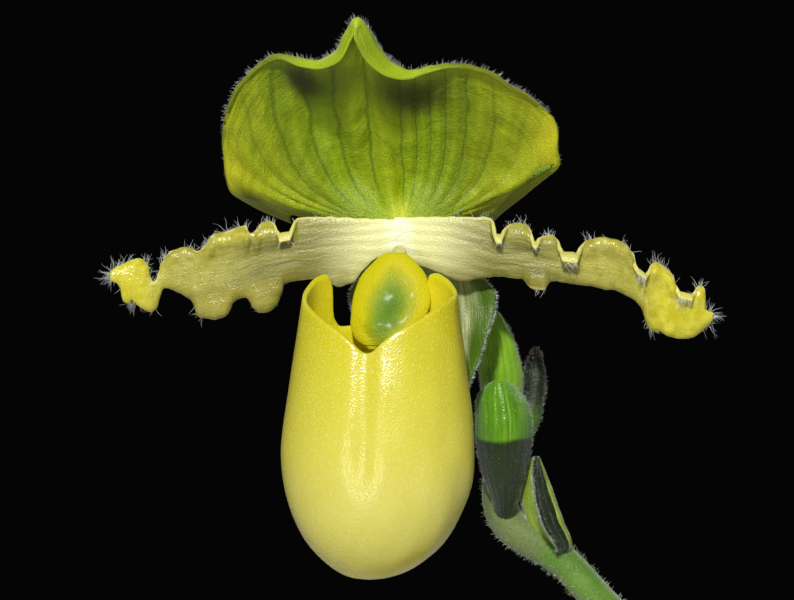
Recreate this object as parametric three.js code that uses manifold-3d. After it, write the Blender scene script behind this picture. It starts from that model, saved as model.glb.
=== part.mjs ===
// A potted slipper orchid, Paphiopedilum primulinum, with one open flower, two buds and a fan of leaves.
// Millimetres, +Z up. The origin is the middle of the pot's flat base, and the flower faces -Y.
import * as THREE from 'three';
import Module from 'manifold-3d';
import { mergeVertices } from 'three/addons/utils/BufferGeometryUtils.js';

const wasm = await Module();
wasm.setup();

// Driving dimensions
const gap = 0.3;
const flowerCentre = new THREE.Vector3(-84, -23, 294);
const flowerYaw = THREE.MathUtils.degToRad(-11);

const pot = {
  height: 105, rimHeight: 18, rimRadius: 60, shoulderRadius: 54, baseRadius: 39,
  wall: 5, floor: 6, drainRadius: 4.5, drainCircle: 24, sides: 48,
};
const mix = { level: 90, chips: 46, chipLength: [9, 17], chipWidth: [6, 10], chipHeight: [5, 7] };
const crownPlace = new THREE.Vector3(0, 0, 84);
const fanTurn = THREE.MathUtils.degToRad(20);
const shootPlace = new THREE.Vector3(-11, 27, 86);
const shootTurn = THREE.MathUtils.degToRad(27);
const shootScale = 0.55;

const leafThickness = 1.1;
const leafHalfWidth = 14;
const petalThickness = 0.7;
const sepalThickness = 0.8;
const bractThickness = 0.7;
const pouchWall = 0.8;

// Surface colours, roughness and metalness
const finish = (color, roughness) => new THREE.MeshStandardMaterial({ color, roughness, metalness: 0 });
const finishes = {
  clay: finish(0xb4623c, 0.85),
  bark: finish(0x6b4a30, 0.9),
  leaf: finish(0x3f7a2a, 0.4),
  crown: finish(0x7c9a4a, 0.6),
  stem: finish(0x6f9a3a, 0.8),
  bract: finish(0x6fa030, 0.6),
  bud: finish(0x8a8a3a, 0.7),
  sepal: finish(0x8c9a28, 0.55),
  petal: finish(0xd4cf5a, 0.45),
  pouch: finish(0xd8cc30, 0.4),
  shield: finish(0xb4b820, 0.3),
  column: finish(0xd8d08c, 0.5),
};

const group = new THREE.Group();

function addPart(parent, name, geometry, material) {
  const mesh = new THREE.Mesh(geometry, material);
  mesh.name = name;
  parent.add(mesh);
  return mesh;
}

// Repeatable random numbers from 0 to 1
function seeded(seed) {
  let state = seed;
  return () => {
    state = (state + 0x6d2b79f5) | 0;
    let t = Math.imul(state ^ (state >>> 15), 1 | state);
    t = (t + Math.imul(t ^ (t >>> 7), 61 | t)) ^ t;
    return ((t ^ (t >>> 14)) >>> 0) / 4294967296;
  };
}

// Smooth value at x of a table's column, with no overshoot between its rows
function through(rows, x, column = 1) {
  const last = rows.length - 1;
  if (x <= rows[0][0]) return rows[0][column];
  if (x >= rows[last][0]) return rows[last][column];
  let i = 0;
  while (x > rows[i + 1][0]) i += 1;
  const slope = (k) => (rows[k + 1][column] - rows[k][column]) / (rows[k + 1][0] - rows[k][0]);
  const tangent = (k) => {
    if (k === 0) return slope(0);
    if (k === last) return slope(last - 1);
    const before = slope(k - 1);
    const after = slope(k);
    return before * after > 0 ? (2 * before * after) / (before + after) : 0;
  };
  const step = rows[i + 1][0] - rows[i][0];
  const t = (x - rows[i][0]) / step;
  const rest = 1 - t;
  return rows[i][column] * rest * rest * (1 + 2 * t) + rows[i + 1][column] * t * t * (3 - 2 * t)
    + step * t * rest * (tangent(i) * rest - tangent(i + 1) * t);
}

// Smooth point at x of a table whose rows are [x, point x, point y, point z]
const placeThrough = (rows, x) => {
  return new THREE.Vector3(through(rows, x), through(rows, x, 2), through(rows, x, 3));
};

// A bump of height 1 at 0 that falls to 0 at -1 and 1
const bump = (x) => (Math.abs(x) < 1 ? Math.cos((x * Math.PI) / 2) ** 2 : 0);

const { lerp } = THREE.MathUtils;

// Closed geometry of points and triangles, turned so that its faces point out
function closed(points, triangles) {
  let volume = 0;
  for (const [a, b, c] of triangles) {
    volume += points[a].dot(points[b].clone().cross(points[c]));
  }
  const faces = volume < 0 ? triangles.map(([a, b, c]) => [a, c, b]) : triangles;
  const geometry = new THREE.BufferGeometry();
  geometry.setAttribute('position', new THREE.Float32BufferAttribute(points.flatMap((p) => p.toArray()), 3));
  geometry.setIndex(faces.flat());
  geometry.computeVertexNormals();
  return geometry;
}

// Unit normals of a grid of points, from each point's neighbours along and across
function gridNormals(grid, around) {
  const rows = grid.length;
  const columns = grid[0].length;
  return grid.map((row, i) => row.map((_, j) => {
    const before = around ? (j + columns - 1) % columns : Math.max(j - 1, 0);
    const after = around ? (j + 1) % columns : Math.min(j + 1, columns - 1);
    const along = grid[Math.min(i + 1, rows - 1)][j].clone().sub(grid[Math.max(i - 1, 0)][j]);
    const across = grid[i][after].clone().sub(grid[i][before]);
    return along.cross(across).normalize();
  }));
}

// Closed thin blade about surface(u, v), u from 0 to 1 along it and v from -1 to 1 across it.
// Both faces are split into triangles alike, and its edge joins them all the way round.
function blade(surface, along, across, thickness) {
  const grid = [];
  for (let i = 0; i <= along; i += 1) {
    const row = [];
    for (let j = 0; j <= across; j += 1) row.push(surface(i / along, (2 * j) / across - 1));
    grid.push(row);
  }
  const normals = gridNormals(grid, false);
  const width = across + 1;
  const count = (along + 1) * width;
  const points = [];
  for (const side of [0.5, -0.5]) {
    for (let i = 0; i <= along; i += 1) {
      for (let j = 0; j <= across; j += 1) {
        points.push(grid[i][j].clone().addScaledVector(normals[i][j], side * thickness));
      }
    }
  }
  const triangles = [];
  for (let i = 0; i < along; i += 1) {
    for (let j = 0; j < across; j += 1) {
      const a = i * width + j;
      const [b, c, d] = [a + 1, a + width, a + width + 1];
      const faces = (i + j) % 2 ? [[a, c, b], [b, c, d]] : [[a, c, d], [a, d, b]];
      for (const [p, q, r] of faces) {
        triangles.push([p, q, r]);
        triangles.push([p + count, r + count, q + count]);
      }
    }
  }
  const rim = [];
  for (let j = 0; j < across; j += 1) rim.push(j);
  for (let i = 0; i < along; i += 1) rim.push(i * width + across);
  for (let j = across; j > 0; j -= 1) rim.push(along * width + j);
  for (let i = along; i > 0; i -= 1) rim.push(i * width);
  rim.forEach((p, k) => {
    const q = rim[(k + 1) % rim.length];
    triangles.push([p, q, q + count]);
    triangles.push([p, q + count, p + count]);
  });
  return closed(points, triangles);
}

// Closed cup whose outer wall is wall(turn, rise), rise from 0 at its lowest point to 1 at its rim
function cup(wall, turns, rings, thickness) {
  const outer = [];
  for (let i = 1; i <= rings; i += 1) outer.push(turns.map((turn) => wall(turn, i / rings)));
  const normals = gridNormals(outer, true);
  const low = wall(0, 0);
  const middle = new THREE.Vector3();
  outer[rings - 1].forEach((p) => middle.addScaledVector(p, 1 / turns.length));
  const inward = outer[0][0].clone().sub(low).dot(normals[0][0]) > 0 ? -1 : 1;
  const points = [low, low.clone().addScaledVector(middle.sub(low).normalize(), thickness)];
  const layers = [0, thickness * inward];
  const count = turns.length;
  const at = (layer, ring, j) => 2 + layer * rings * count + ring * count + (j % count);
  for (const depth of layers) {
    outer.forEach((row, i) => {
      row.forEach((p, j) => points.push(p.clone().addScaledVector(normals[i][j], depth)));
    });
  }
  const triangles = [];
  for (let j = 0; j < count; j += 1) {
    triangles.push([0, at(0, 0, j), at(0, 0, j + 1)]);
    triangles.push([1, at(1, 0, j + 1), at(1, 0, j)]);
    for (let i = 0; i < rings - 1; i += 1) {
      const corners = (layer) => [
        at(layer, i, j), at(layer, i, j + 1), at(layer, i + 1, j), at(layer, i + 1, j + 1),
      ];
      const [a, b, c, d] = corners(0);
      triangles.push([a, c, d], [a, d, b]);
      const [e, f, g, h] = corners(1);
      triangles.push([e, h, g], [e, f, h]);
    }
    const rim = rings - 1;
    triangles.push([at(0, rim, j), at(1, rim, j), at(1, rim, j + 1)]);
    triangles.push([at(0, rim, j), at(1, rim, j + 1), at(0, rim, j + 1)]);
  }
  return closed(points, triangles);
}

// Closed round stalk along a curve, with its radius a function of the way along it
function stalk(curve, radius, sides, steps) {
  const frames = curve.computeFrenetFrames(steps, false);
  const points = [];
  for (let i = 0; i <= steps; i += 1) {
    const centre = curve.getPointAt(i / steps);
    for (let j = 0; j < sides; j += 1) {
      const angle = (2 * Math.PI * j) / sides;
      const out = frames.normals[i].clone().multiplyScalar(Math.cos(angle));
      out.addScaledVector(frames.binormals[i], Math.sin(angle));
      points.push(centre.clone().addScaledVector(out, radius(i / steps)));
    }
  }
  const start = points.push(curve.getPointAt(0)) - 1;
  const end = points.push(curve.getPointAt(1)) - 1;
  const triangles = [];
  for (let j = 0; j < sides; j += 1) {
    const k = (j + 1) % sides;
    for (let i = 0; i < steps; i += 1) {
      const [a, b, c, d] = [i * sides + j, i * sides + k, (i + 1) * sides + j, (i + 1) * sides + k];
      triangles.push([a, b, d], [a, d, c]);
    }
    triangles.push([start, k, j]);
    triangles.push([end, steps * sides + j, steps * sides + k]);
  }
  return closed(points, triangles);
}

// Turned solid about +Z from a profile of [radius, height]
function turned(profile, sides) {
  const outline = profile.map(([radius, height]) => new THREE.Vector2(radius, height));
  return new THREE.LatheGeometry(outline, sides).rotateX(Math.PI / 2);
}

// Solid for joining and cutting, from a closed geometry
function solidOf(geometry) {
  const bare = geometry.clone();
  bare.deleteAttribute('normal');
  if (bare.getAttribute('uv')) bare.deleteAttribute('uv');
  const merged = mergeVertices(bare, 1e-3);
  const source = merged.index.array;
  const corners = [];
  for (let i = 0; i < source.length; i += 3) {
    const [a, b, c] = [source[i], source[i + 1], source[i + 2]];
    if (a !== b && b !== c && c !== a) corners.push(a, b, c);
  }
  const solid = new wasm.Manifold(new wasm.Mesh({
    numProp: 3,
    vertProperties: new Float32Array(merged.getAttribute('position').array),
    triVerts: new Uint32Array(corners),
  }));
  return solid;
}

function geometryOf(solid) {
  const mesh = solid.getMesh();
  const geometry = new THREE.BufferGeometry();
  geometry.setAttribute('position', new THREE.Float32BufferAttribute(mesh.vertProperties, 3));
  geometry.setIndex(Array.from(mesh.triVerts));
  geometry.computeVertexNormals();
  return geometry;
}

// Pot: a tapered clay pot with a rim band and drain holes set off its middle
function potGeometry() {
  const rimBottom = pot.height - pot.rimHeight;
  const band = pot.rimRadius - pot.shoulderRadius;
  const profile = [
    [0, 0], [pot.baseRadius - 1, 0], [pot.baseRadius, 1], [pot.shoulderRadius - 1, rimBottom - 1],
    [pot.rimRadius - 2, rimBottom], [pot.rimRadius - 1, rimBottom + 1], [pot.rimRadius, pot.height - 2],
    [pot.rimRadius - 2, pot.height], [pot.rimRadius - pot.wall, pot.height],
    [innerRadius(pot.height - 3), pot.height - 3], [innerRadius(rimBottom - band), rimBottom - band],
    [innerRadius(pot.floor), pot.floor], [0, pot.floor],
  ];
  let body = solidOf(turned(profile, pot.sides));
  for (let k = 0; k < 4; k += 1) {
    const angle = (k + 0.5) * Math.PI / 2;
    const hole = new THREE.CylinderGeometry(pot.drainRadius, pot.drainRadius, pot.floor * 3, 16);
    hole.rotateX(Math.PI / 2);
    hole.translate(pot.drainCircle * Math.cos(angle), pot.drainCircle * Math.sin(angle), pot.floor / 2);
    body = body.subtract(solidOf(hole));
  }
  return geometryOf(body);
}

// Radius of the pot's inside at a height
function innerRadius(height) {
  const base = pot.baseRadius - pot.wall;
  return base + ((pot.shoulderRadius - pot.baseRadius) * height) / (pot.height - pot.rimHeight);
}

// Stub that a fan of leaves grows from, wide in the fan's plane
function crownGeometry(grow) {
  const profile = [
    [0, -grow], [5.5, -grow], [7.5 + grow, 4], [9 + grow, 14], [8.6 + grow, 23], [6.4 + grow, 28.5],
    [3 + grow, 31 + grow], [0, 31.6 + grow],
  ];
  return turned(profile, 16).scale(1.35, 0.75, 1);
}

// Leaf: a keeled strap along an arc that starts at [out, up] from the crown, rises at one angle
// and ends at another. Its fold opens from a narrow channel at the base to a shallow one at the tip.
const leafWidth = [[0, 0.42], [0.15, 0.62], [0.4, 0.95], [0.6, 1], [0.8, 0.86], [0.93, 0.5], [1, 0.08]];
const leafFold = [[0, 52], [0.15, 42], [0.4, 26], [1, 9]];

function leafPoint(leaf, u, v) {
  const start = THREE.MathUtils.degToRad(leaf.rise);
  const bend = (THREE.MathUtils.degToRad(leaf.end) - start) / leaf.length;
  const angle = start + bend * leaf.length * u;
  const out = leaf.out + (Math.sin(angle) - Math.sin(start)) / bend;
  const up = leaf.up - (Math.cos(angle) - Math.cos(start)) / bend;
  const halfWidth = through(leafWidth, u) * leafHalfWidth * leaf.width;
  const fold = THREE.MathUtils.degToRad(through(leafFold, u));
  const lift = halfWidth * Math.sin(fold) * (Math.hypot(v, 0.12) - 0.12);
  const side = halfWidth * Math.cos(fold) * v;
  return new THREE.Vector3(leaf.side * (out - Math.sin(angle) * lift), side, up + Math.cos(angle) * lift);
}

// A crown and its leaves, in a group of their own
function addFan(names, place, turn, scale, leaves, stem) {
  const fan = new THREE.Group();
  fan.position.copy(place);
  fan.rotation.z = turn;
  fan.scale.setScalar(scale);
  fan.updateMatrixWorld(true);
  let stub = solidOf(crownGeometry(0));
  if (stem) stub = stub.subtract(solidOf(stem.clone().applyMatrix4(fan.matrixWorld.clone().invert())));
  addPart(fan, names.crown, geometryOf(stub), finishes.crown);
  const cutter = solidOf(crownGeometry(gap / scale));
  leaves.forEach((leaf, i) => {
    const whole = blade((u, v) => leafPoint(leaf, u, v), leaf.steps, 4, leafThickness / scale);
    addPart(fan, `${names.leaf}_${i + 1}`, geometryOf(solidOf(whole).subtract(cutter)), finishes.leaf);
  });
  group.add(fan);
  const hole = solidOf(crownGeometry(gap / scale).applyMatrix4(fan.matrixWorld));
  return hole;
}

// side 1 is the fan's +X side, out and up place the base, and rise and end are degrees above level
const mainLeaves = [
  { side: 1, out: 8, up: 10, rise: 40, end: -16, length: 150, width: 1, steps: 14 },
  { side: -1, out: 8, up: 12, rise: 46, end: -8, length: 160, width: 1.04, steps: 14 },
  { side: 1, out: 7.5, up: 15, rise: 61, end: 2, length: 168, width: 1.06, steps: 14 },
  { side: -1, out: 7.5, up: 17, rise: 67, end: 16, length: 160, width: 1, steps: 14 },
  { side: 1, out: 5.2, up: 20, rise: 80, end: 40, length: 132, width: 0.9, steps: 12 },
  { side: -1, out: 5, up: 22, rise: 84, end: 62, length: 84, width: 0.72, steps: 10 },
];
const shootLeaves = [
  { side: 1, out: 7.5, up: 12, rise: 52, end: 14, length: 120, width: 1, steps: 10 },
  { side: -1, out: 7.5, up: 14, rise: 66, end: 44, length: 108, width: 0.95, steps: 10 },
  { side: 1, out: 5.2, up: 20, rise: 80, end: 58, length: 92, width: 0.8, steps: 10 },
];

// Scape: the flower stem, up from the crown and over to the flower, in places from the flower's centre
const fromFlower = (x, y, z) => new THREE.Vector3(x, y, z).add(flowerCentre);
const scapeFoot = crownPlace.clone().add(new THREE.Vector3(0, 0, 18));
const fromFoot = (x, y, z) => new THREE.Vector3(x, y, z).add(scapeFoot);
const scapePath = (grow) => new THREE.CatmullRomCurve3([
  fromFoot(0, 0, -grow),
  fromFoot(-2.6, -0.4, 40),
  fromFoot(-11, -2.3, 73),
  fromFoot(-24.6, -5.6, 103),
  fromFoot(-43.2, -10.1, 131),
  fromFlower(22.3, 9, -41.1),
  fromFlower(18, 9, -36.6),
  fromFlower(11.9, 9, -32.2),
  fromFlower(11.2, 9.9, -26.4),
  fromFlower(11.7, 10.4, -22.6),
]);
const scapeRadii = [[0, 2.3], [0.2, 2.1], [0.8, 1.9], [0.9, 1.85], [0.96, 2.0], [1, 1.35]];
const scapeRadius = (t) => through(scapeRadii, t);

function scapeGeometry(grow) {
  return stalk(scapePath(grow), (t) => scapeRadius(t) + grow, 8, 34);
}

// Potting bark: a bed that fills the pot, with chips sunk into its top and holes for the plant
function barkGeometry(holes) {
  const random = seeded(11);
  const between = ([low, high]) => lerp(low, high, random());
  const edge = (height) => innerRadius(height) - gap;
  const bed = [
    [0, pot.floor + gap], [edge(pot.floor + gap), pot.floor + gap],
    [edge(mix.level), mix.level], [0, mix.level],
  ];
  let body = solidOf(turned(bed, pot.sides));
  for (let k = 0; k < mix.chips; k += 1) {
    const chip = new THREE.BoxGeometry(
      between(mix.chipLength), between(mix.chipWidth), between(mix.chipHeight),
    );
    const corner = chip.getAttribute('position');
    const taper = lerp(0.6, 1, random());
    for (let i = 0; i < corner.count; i += 1) {
      if (corner.getX(i) > 0) corner.setY(i, corner.getY(i) * taper);
    }
    chip.rotateX(lerp(-0.35, 0.35, random()));
    chip.rotateY(lerp(-0.3, 0.3, random()));
    chip.rotateZ(random() * Math.PI * 2);
    const radius = (edge(mix.level) - 9) * Math.sqrt((k + 0.5) / mix.chips);
    const angle = k * 2.399963;
    chip.translate(radius * Math.cos(angle), radius * Math.sin(angle), mix.level + lerp(-0.5, 1.2, random()));
    body = body.add(solidOf(chip));
  }
  for (const hole of holes) body = body.subtract(hole);
  return geometryOf(body);
}

// Dorsal sepal: rows run clockwise round its fold line, seen from the front, as
// [x, y, z of the fold line, then the step from there to the free margin].
const dorsalRows = [
  [-11.9, 4.0, 1.5, -0.2, 1.0, 0.1], [-13.8, 4.2, 2.2, -0.2, 1.2, 0], [-16.1, 3.6, 3.8, -0.1, 1.3, -0.1],
  [-18.1, 2.0, 5.3, 0, 1.2, -0.1], [-19.0, 0, 8.1, 0, 0.8, 0], [-19.3, -1.6, 10.3, 0.1, 0.3, 0],
  [-18.9, -3.0, 12.5, 0.2, -0.1, 0], [-17.9, -4.2, 15.0, 0.3, -0.3, -0.1],
  [-16.5, -5.0, 16.8, 0.3, -0.4, -0.2], [-14.9, -5.6, 18.2, 0.2, -0.5, -0.3],
  [-13.2, -6.0, 18.9, 0.1, -0.6, -0.4], [-10.9, -6.6, 18.4, 0, -0.8, -0.6],
  [-8.6, -8.0, 18.2, -0.1, -1.0, -0.9], [-6.8, -9.8, 19.1, -0.4, -1.0, -1.2],
  [-5.7, -11.4, 21.1, -0.3, -1.0, -1.3], [-4.6, -12.4, 22.5, -0.3, -1.2, -1.5],
  [-3.6, -11.6, 21.4, -0.9, -1.2, -1.6], [-2.3, -9.6, 19.3, -1.1, -1.2, -1.3],
  [-0.7, -8.0, 17.8, -0.6, -1.0, -1.0], [1.3, -7.0, 17.1, -0.4, -0.8, -0.6],
  [3.0, -6.6, 17.5, 0, -0.7, -0.5], [5.1, -6.4, 17.9, 0, -0.6, -0.4], [7.4, -6.0, 17.8, -0.1, -0.5, -0.4],
  [9.6, -5.4, 17.1, -0.1, -0.5, -0.3], [11.6, -4.6, 15.9, -0.1, -0.4, -0.2],
  [14.1, -3.4, 14.5, -0.1, -0.3, -0.1], [16.2, -2.2, 12.7, -0.1, 0, 0], [17.0, -1.4, 11.2, 0, 0.3, 0],
  [17.2, -0.6, 9.2, 0.1, 0.8, 0], [17.8, 0.6, 7.1, 0.1, 1.2, -0.3], [16.0, 2.2, 5.6, 0, 1.3, -0.3],
  [14.1, 3.2, 4.9, 0, 1.3, -0.2], [12.7, 4.0, 4.0, 0.1, 1.2, 0], [11.8, 4.6, 2.3, 0.2, 1.0, 0],
  [10.8, 4.8, 1.3, 0.1, 1.0, 0.1],
];
const dorsalBase = [new THREE.Vector3(-4.2, 1.8, 1.7), new THREE.Vector3(4, 1.8, 1.7)];
const dorsalFold = new THREE.CatmullRomCurve3(dorsalRows.map(([x, y, z]) => new THREE.Vector3(x, y, z)));
const dorsalRoll = new THREE.CatmullRomCurve3(dorsalRows.map((row) => new THREE.Vector3(...row.slice(3))));
const dorsalHollow = [[0, 0.3], [0.15, 1.6], [0.45, 4.2], [0.8, 2.4], [1, 0.3]];

function dorsalPoint(u, v) {
  const turn = (v + 1) / 2;
  const t = dorsalFold.getUtoTmapping(turn);
  const fold = dorsalFold.getPoint(t);
  const base = dorsalBase[0].clone().lerp(dorsalBase[1], turn);
  const hollow = through(dorsalHollow, turn);
  const onVein = (f) => {
    const p = base.clone().lerp(fold, f);
    p.y += hollow * Math.sin(Math.PI * f ** 0.8);
    return p;
  };
  const vein = new THREE.CatmullRomCurve3([
    base, onVein(0.3), onVein(0.6), onVein(0.86), fold, fold.clone().add(dorsalRoll.getPoint(t)),
  ]);
  return vein.getPoint(u);
}

// Petals: each runs out along a midline, [distance, x, y, z], with its upper and lower margins at a
// reach from it, [distance, reach]. Notches are [distance, half width, depth, curl], and the curl of a
// margin is how far it bends forward, below 0, or back.
const petals = {
  right: {
    midline: [
      [0.2, 0.2, 0, -0.7], [4.4, 4.4, -1.0, -1.4], [11, 11, -2.0, -2.4], [17.6, 17.6, -2.6, -3.5],
      [23.1, 23.1, -2.6, -4.4], [27.5, 27.5, -2.2, -6.6], [30.8, 30.8, -1.6, -8.8], [34.4, 34.4, -0.9, -9.3],
    ],
    upper: [
      [0.2, 2.0], [4.4, 3.1], [8.8, 3.8], [13, 3.5], [17, 2.5], [20.9, 2.8], [24.2, 2.9], [28.4, 3.5],
      [29.3, 3.7], [31, 3.0], [32.6, 3.4], [33.2, 2.6], [33.6, 0.8], [34.4, 0.8],
    ],
    lower: [
      [0.2, 2.2], [4.4, 3.0], [8.2, 3.5], [11, 2.4], [13.2, 2.3], [14.8, 3.3], [16.2, 2.2], [18.5, 1.8],
      [23.1, 2.1], [25.5, 2.9], [27.3, 4.1], [28.2, 2.4], [30.8, 2.7], [33.6, 0.9], [34.4, 0.4],
    ],
    upperFolds: [
      [10.6, 1.1, 1.9, -1.9], [14.8, 0.9, 1.3, -1.6], [18.5, 1.3, 1.6, -1.8], [26.1, 1.1, 2.0, -1.9],
      [31.1, 1.0, 1.4, -1.5], [12.7, 1, 0, 0.7], [22, 2.4, 0, 0.8], [28.5, 1.3, 0, 0.8],
    ],
    lowerFolds: [
      [9, 2.5, 0, 1.2], [14.8, 1.2, 0, 1.0], [19.5, 2.5, 0, 0.9], [27.2, 1.6, 0, 1.1], [32, 1.6, 0, 0.8],
    ],
  },
  left: {
    midline: [
      [0.2, -0.2, 0, -0.7], [4.4, -4.4, 0.1, -1.5], [11, -11, 0.2, -2.1], [16.5, -16.5, 0.7, -3.3],
      [22, -22, 1.2, -4.4], [25.9, -25.9, 1.5, -5.3], [27.5, -27.5, 1.5, -6.2], [29.7, -29.7, 1.3, -5.7],
      [32, -32, 1.0, -4.7],
    ],
    upper: [
      [0.2, 2.0], [4.4, 2.9], [11, 3.6], [16.5, 4.2], [20.7, 3.3], [23.6, 2.9], [25.7, 2.3], [26.6, 1.4],
      [27.4, 0.6], [28, 1.6], [29.2, 2.5], [30.8, 1.6], [32, 0.5],
    ],
    lower: [
      [0.2, 2.0], [2.2, 1.8], [4.5, 2.8], [6.8, 4.1], [9.4, 3.3], [12.8, 3.4], [14.8, 5.4], [16.2, 5.2],
      [17.3, 3.8], [19, 4.6], [21, 5.2], [22.4, 4.6], [23.3, 2.4], [25.9, 1.0], [26.8, 1.8], [27.8, 2.3],
      [29, 2.2], [30.3, 1.7], [31.2, 0.7], [32, 0.4],
    ],
    upperFolds: [
      [12.6, 1.2, 2.4, -1.8], [16.5, 1.1, 2.0, -1.6], [22.1, 1.3, 0.6, -1.0],
      [8, 2, 0, 0.3], [14.6, 0.9, 0, 0.8], [19.4, 1.4, 0, 0.9], [24.4, 1.1, 0, 0.8], [29.4, 1.2, 0, 0.6],
    ],
    lowerFolds: [[6.8, 2, 0, 1.0], [15, 1.6, 0, 1.1], [20.8, 1.8, 0, 1.2], [28.2, 1.2, 0, 0.8]],
  },
};
const foldSpread = 1.15;

// Side of a margin: reach from the midline and curl there
function margin(reaches, folds, distance) {
  let reach = through(reaches, distance);
  let curl = 0.05;
  for (const [at, halfWidth, depth, bend] of folds) {
    const amount = bump((distance - at) / (halfWidth * foldSpread));
    reach -= depth * amount;
    curl += bend * amount;
  }
  return [Math.max(reach, 0.25), curl];
}

function petalPoint(petal, u, v) {
  const rows = petal.midline;
  const distance = lerp(rows[0][0], rows[rows.length - 1][0], u);
  const middle = placeThrough(rows, distance);
  const upper = v > 0;
  const [reach, curl] = upper ? margin(petal.upper, petal.upperFolds, distance)
    : margin(petal.lower, petal.lowerFolds, distance);
  const roll = 0.6 + 1.1 * Math.abs(curl);
  const part = Math.abs(v);
  const rise = Math.sin(roll * part) / (roll > Math.PI / 2 ? 1 : Math.sin(roll));
  middle.z += (upper ? 1 : -1) * reach * rise;
  middle.y += (curl * (1 - Math.cos(roll * part))) / (1 - Math.cos(roll));
  return middle;
}

// Pouch: an upright cup in the flower's own frame. Its rim heights are by turn, 0 at the front and
// degrees to its right above 0.
const pouchShape = {
  bottom: -37.4, widest: -23.8, halfWidth: 10.45, depthRatio: 0.78,
  axis: [
    [-37.4, -0.9, -13.6], [-34, -0.35, -13.3], [-24, -0.15, -11.7], [-14, -0.1, -10.0], [-6, -0.15, -8.6],
  ],
  rim: [
    [-180, -5.7], [-168, -5.7], [-160, -10.2], [-142, -10.6], [-134, -9.4], [-129, -6.0], [-122, -4.9],
    [-110, -5.2], [-95, -6.1], [-75, -7.4], [-56, -8.5], [-42, -9.4], [-30, -10.3], [-20, -11.1],
    [-10, -12.2], [0, -13.3], [10, -12.2], [20, -11.1], [30, -10.3], [42, -9.4], [56, -8.4], [75, -7.5],
    [95, -6.9], [110, -6.2], [125, -5.3], [138, -4.8], [146, -5.0], [151, -8.5], [160, -10.2],
    [168, -5.7], [180, -5.7],
  ],
};

function pouchPoint(turn, rise) {
  const shape = pouchShape;
  const rim = through(shape.rim, turn);
  const climb = 1 - Math.cos((rise * Math.PI) / 2);
  const height = lerp(shape.bottom, rim, lerp(climb, rise, 0.12));
  const above = height - shape.widest;
  const below = 1 - (above / (shape.bottom - shape.widest)) ** 2;
  const halfWidth = above < 0 ? shape.halfWidth * Math.sqrt(Math.max(below, 0))
    : shape.halfWidth - 0.137 * (Math.hypot(above, 2) - 2);
  const angle = THREE.MathUtils.degToRad(turn);
  return new THREE.Vector3(
    through(shape.axis, height) + halfWidth * Math.sin(angle),
    through(shape.axis, height, 2) - halfWidth * shape.depthRatio * Math.cos(angle),
    height,
  );
}

const pouchTurns = [
  -173, -166, -162, -157, -150, -142, -137, -133, -130, -126, -120, -110, -98, -86, -74, -62, -51, -41,
  -32, -24, -16, -8, 0, 8, 16, 24, 32, 41, 51, 62, 74, 86, 98, 110, 121, 131, 139, 145, 148, 151, 155,
  160, 164, 168, 176,
];

// Staminode: a domed shield in front of the column
const shieldLine = [[0, 0.4, -3.9, -2.3], [0.5, 0.2, -5.9, -7.6], [1, -0.9, -8.6, -13]];
const shieldWidth = [[0, 0.5], [0.1, 2.2], [0.28, 3.7], [0.5, 4.2], [0.7, 3.9], [0.86, 2.9], [1, 0.7]];

function shieldPoint(u, v) {
  const middle = placeThrough(shieldLine, u);
  const dome = (1 - v * v) * Math.sin(Math.PI * Math.min(u + 0.05, 1)) ** 0.7;
  middle.x += through(shieldWidth, u) * v;
  middle.y -= 1.3 * dome;
  return middle;
}

// Synsepal: a hollow blade behind the pouch, its margins bent forward
const synsepalLine = [[0, 1.6, 2.0, -2.2], [0.35, 2.3, 3.6, -10], [0.7, 3.0, 3.6, -18], [1, 3.5, 2.6, -25]];
const synsepalWidth = [[0, 2.6], [0.1, 6.2], [0.22, 8.2], [0.45, 6.6], [0.7, 4.0], [0.9, 1.9], [1, 0.6]];

function synsepalPoint(u, v) {
  const middle = placeThrough(synsepalLine, u);
  middle.x += through(synsepalWidth, u) * v;
  middle.y -= 2.2 * v * v * Math.min(u / 0.4, 1) ** 2;
  return middle;
}

// Bracts and buds: a bract is a folded blade, with its line, half width and the depth of its fold
const bracts = {
  bract_lower: {
    line: [[0, 18.3, 5.9, -36.0], [0.3, 17.7, 6.0, -32.5], [0.65, 16.5, 6.4, -28.2], [1, 15.5, 7.5, -25.0]],
    width: [[0, 1.2], [0.3, 1.8], [0.6, 1.5], [1, 0.3]], fold: 2.6, open: 35,
  },
  bract_bud: {
    line: [[0, 11.6, 6.1, -31.7], [0.3, 11.6, 3.4, -26.6], [0.6, 11.6, 2.6, -21.8], [1, 11.4, 3.6, -16.6]],
    width: [[0, 1.5], [0.3, 2.6], [0.6, 2.9], [0.82, 2.4], [0.93, 1.5], [1, 0.3]], fold: 3.6, open: 0,
  },
  bract_flower: {
    line: [[0, 11.6, 8.1, -21.6], [0.35, 11.4, 7.5, -16.8], [0.7, 10.8, 7.4, -12.4], [1, 10.3, 7.8, -8.8]],
    width: [[0, 1.3], [0.35, 2.3], [0.7, 1.8], [1, 0.3]], fold: 2.2, open: 8,
  },
};
const bractFullWidth = 2.9;
const bractFootShare = 0.25;

function bractPoint(bract, u, v) {
  const middle = placeThrough(bract.line, u);
  const halfWidth = through(bract.width, u);
  const fold = bract.fold * halfWidth / bractFullWidth * Math.min(u / bractFootShare, 1);
  const side = new THREE.Vector3(halfWidth * v, fold * v * v, 0);
  side.applyAxisAngle(new THREE.Vector3(0, 0, 1), THREE.MathUtils.degToRad(bract.open));
  return middle.add(side);
}

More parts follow.
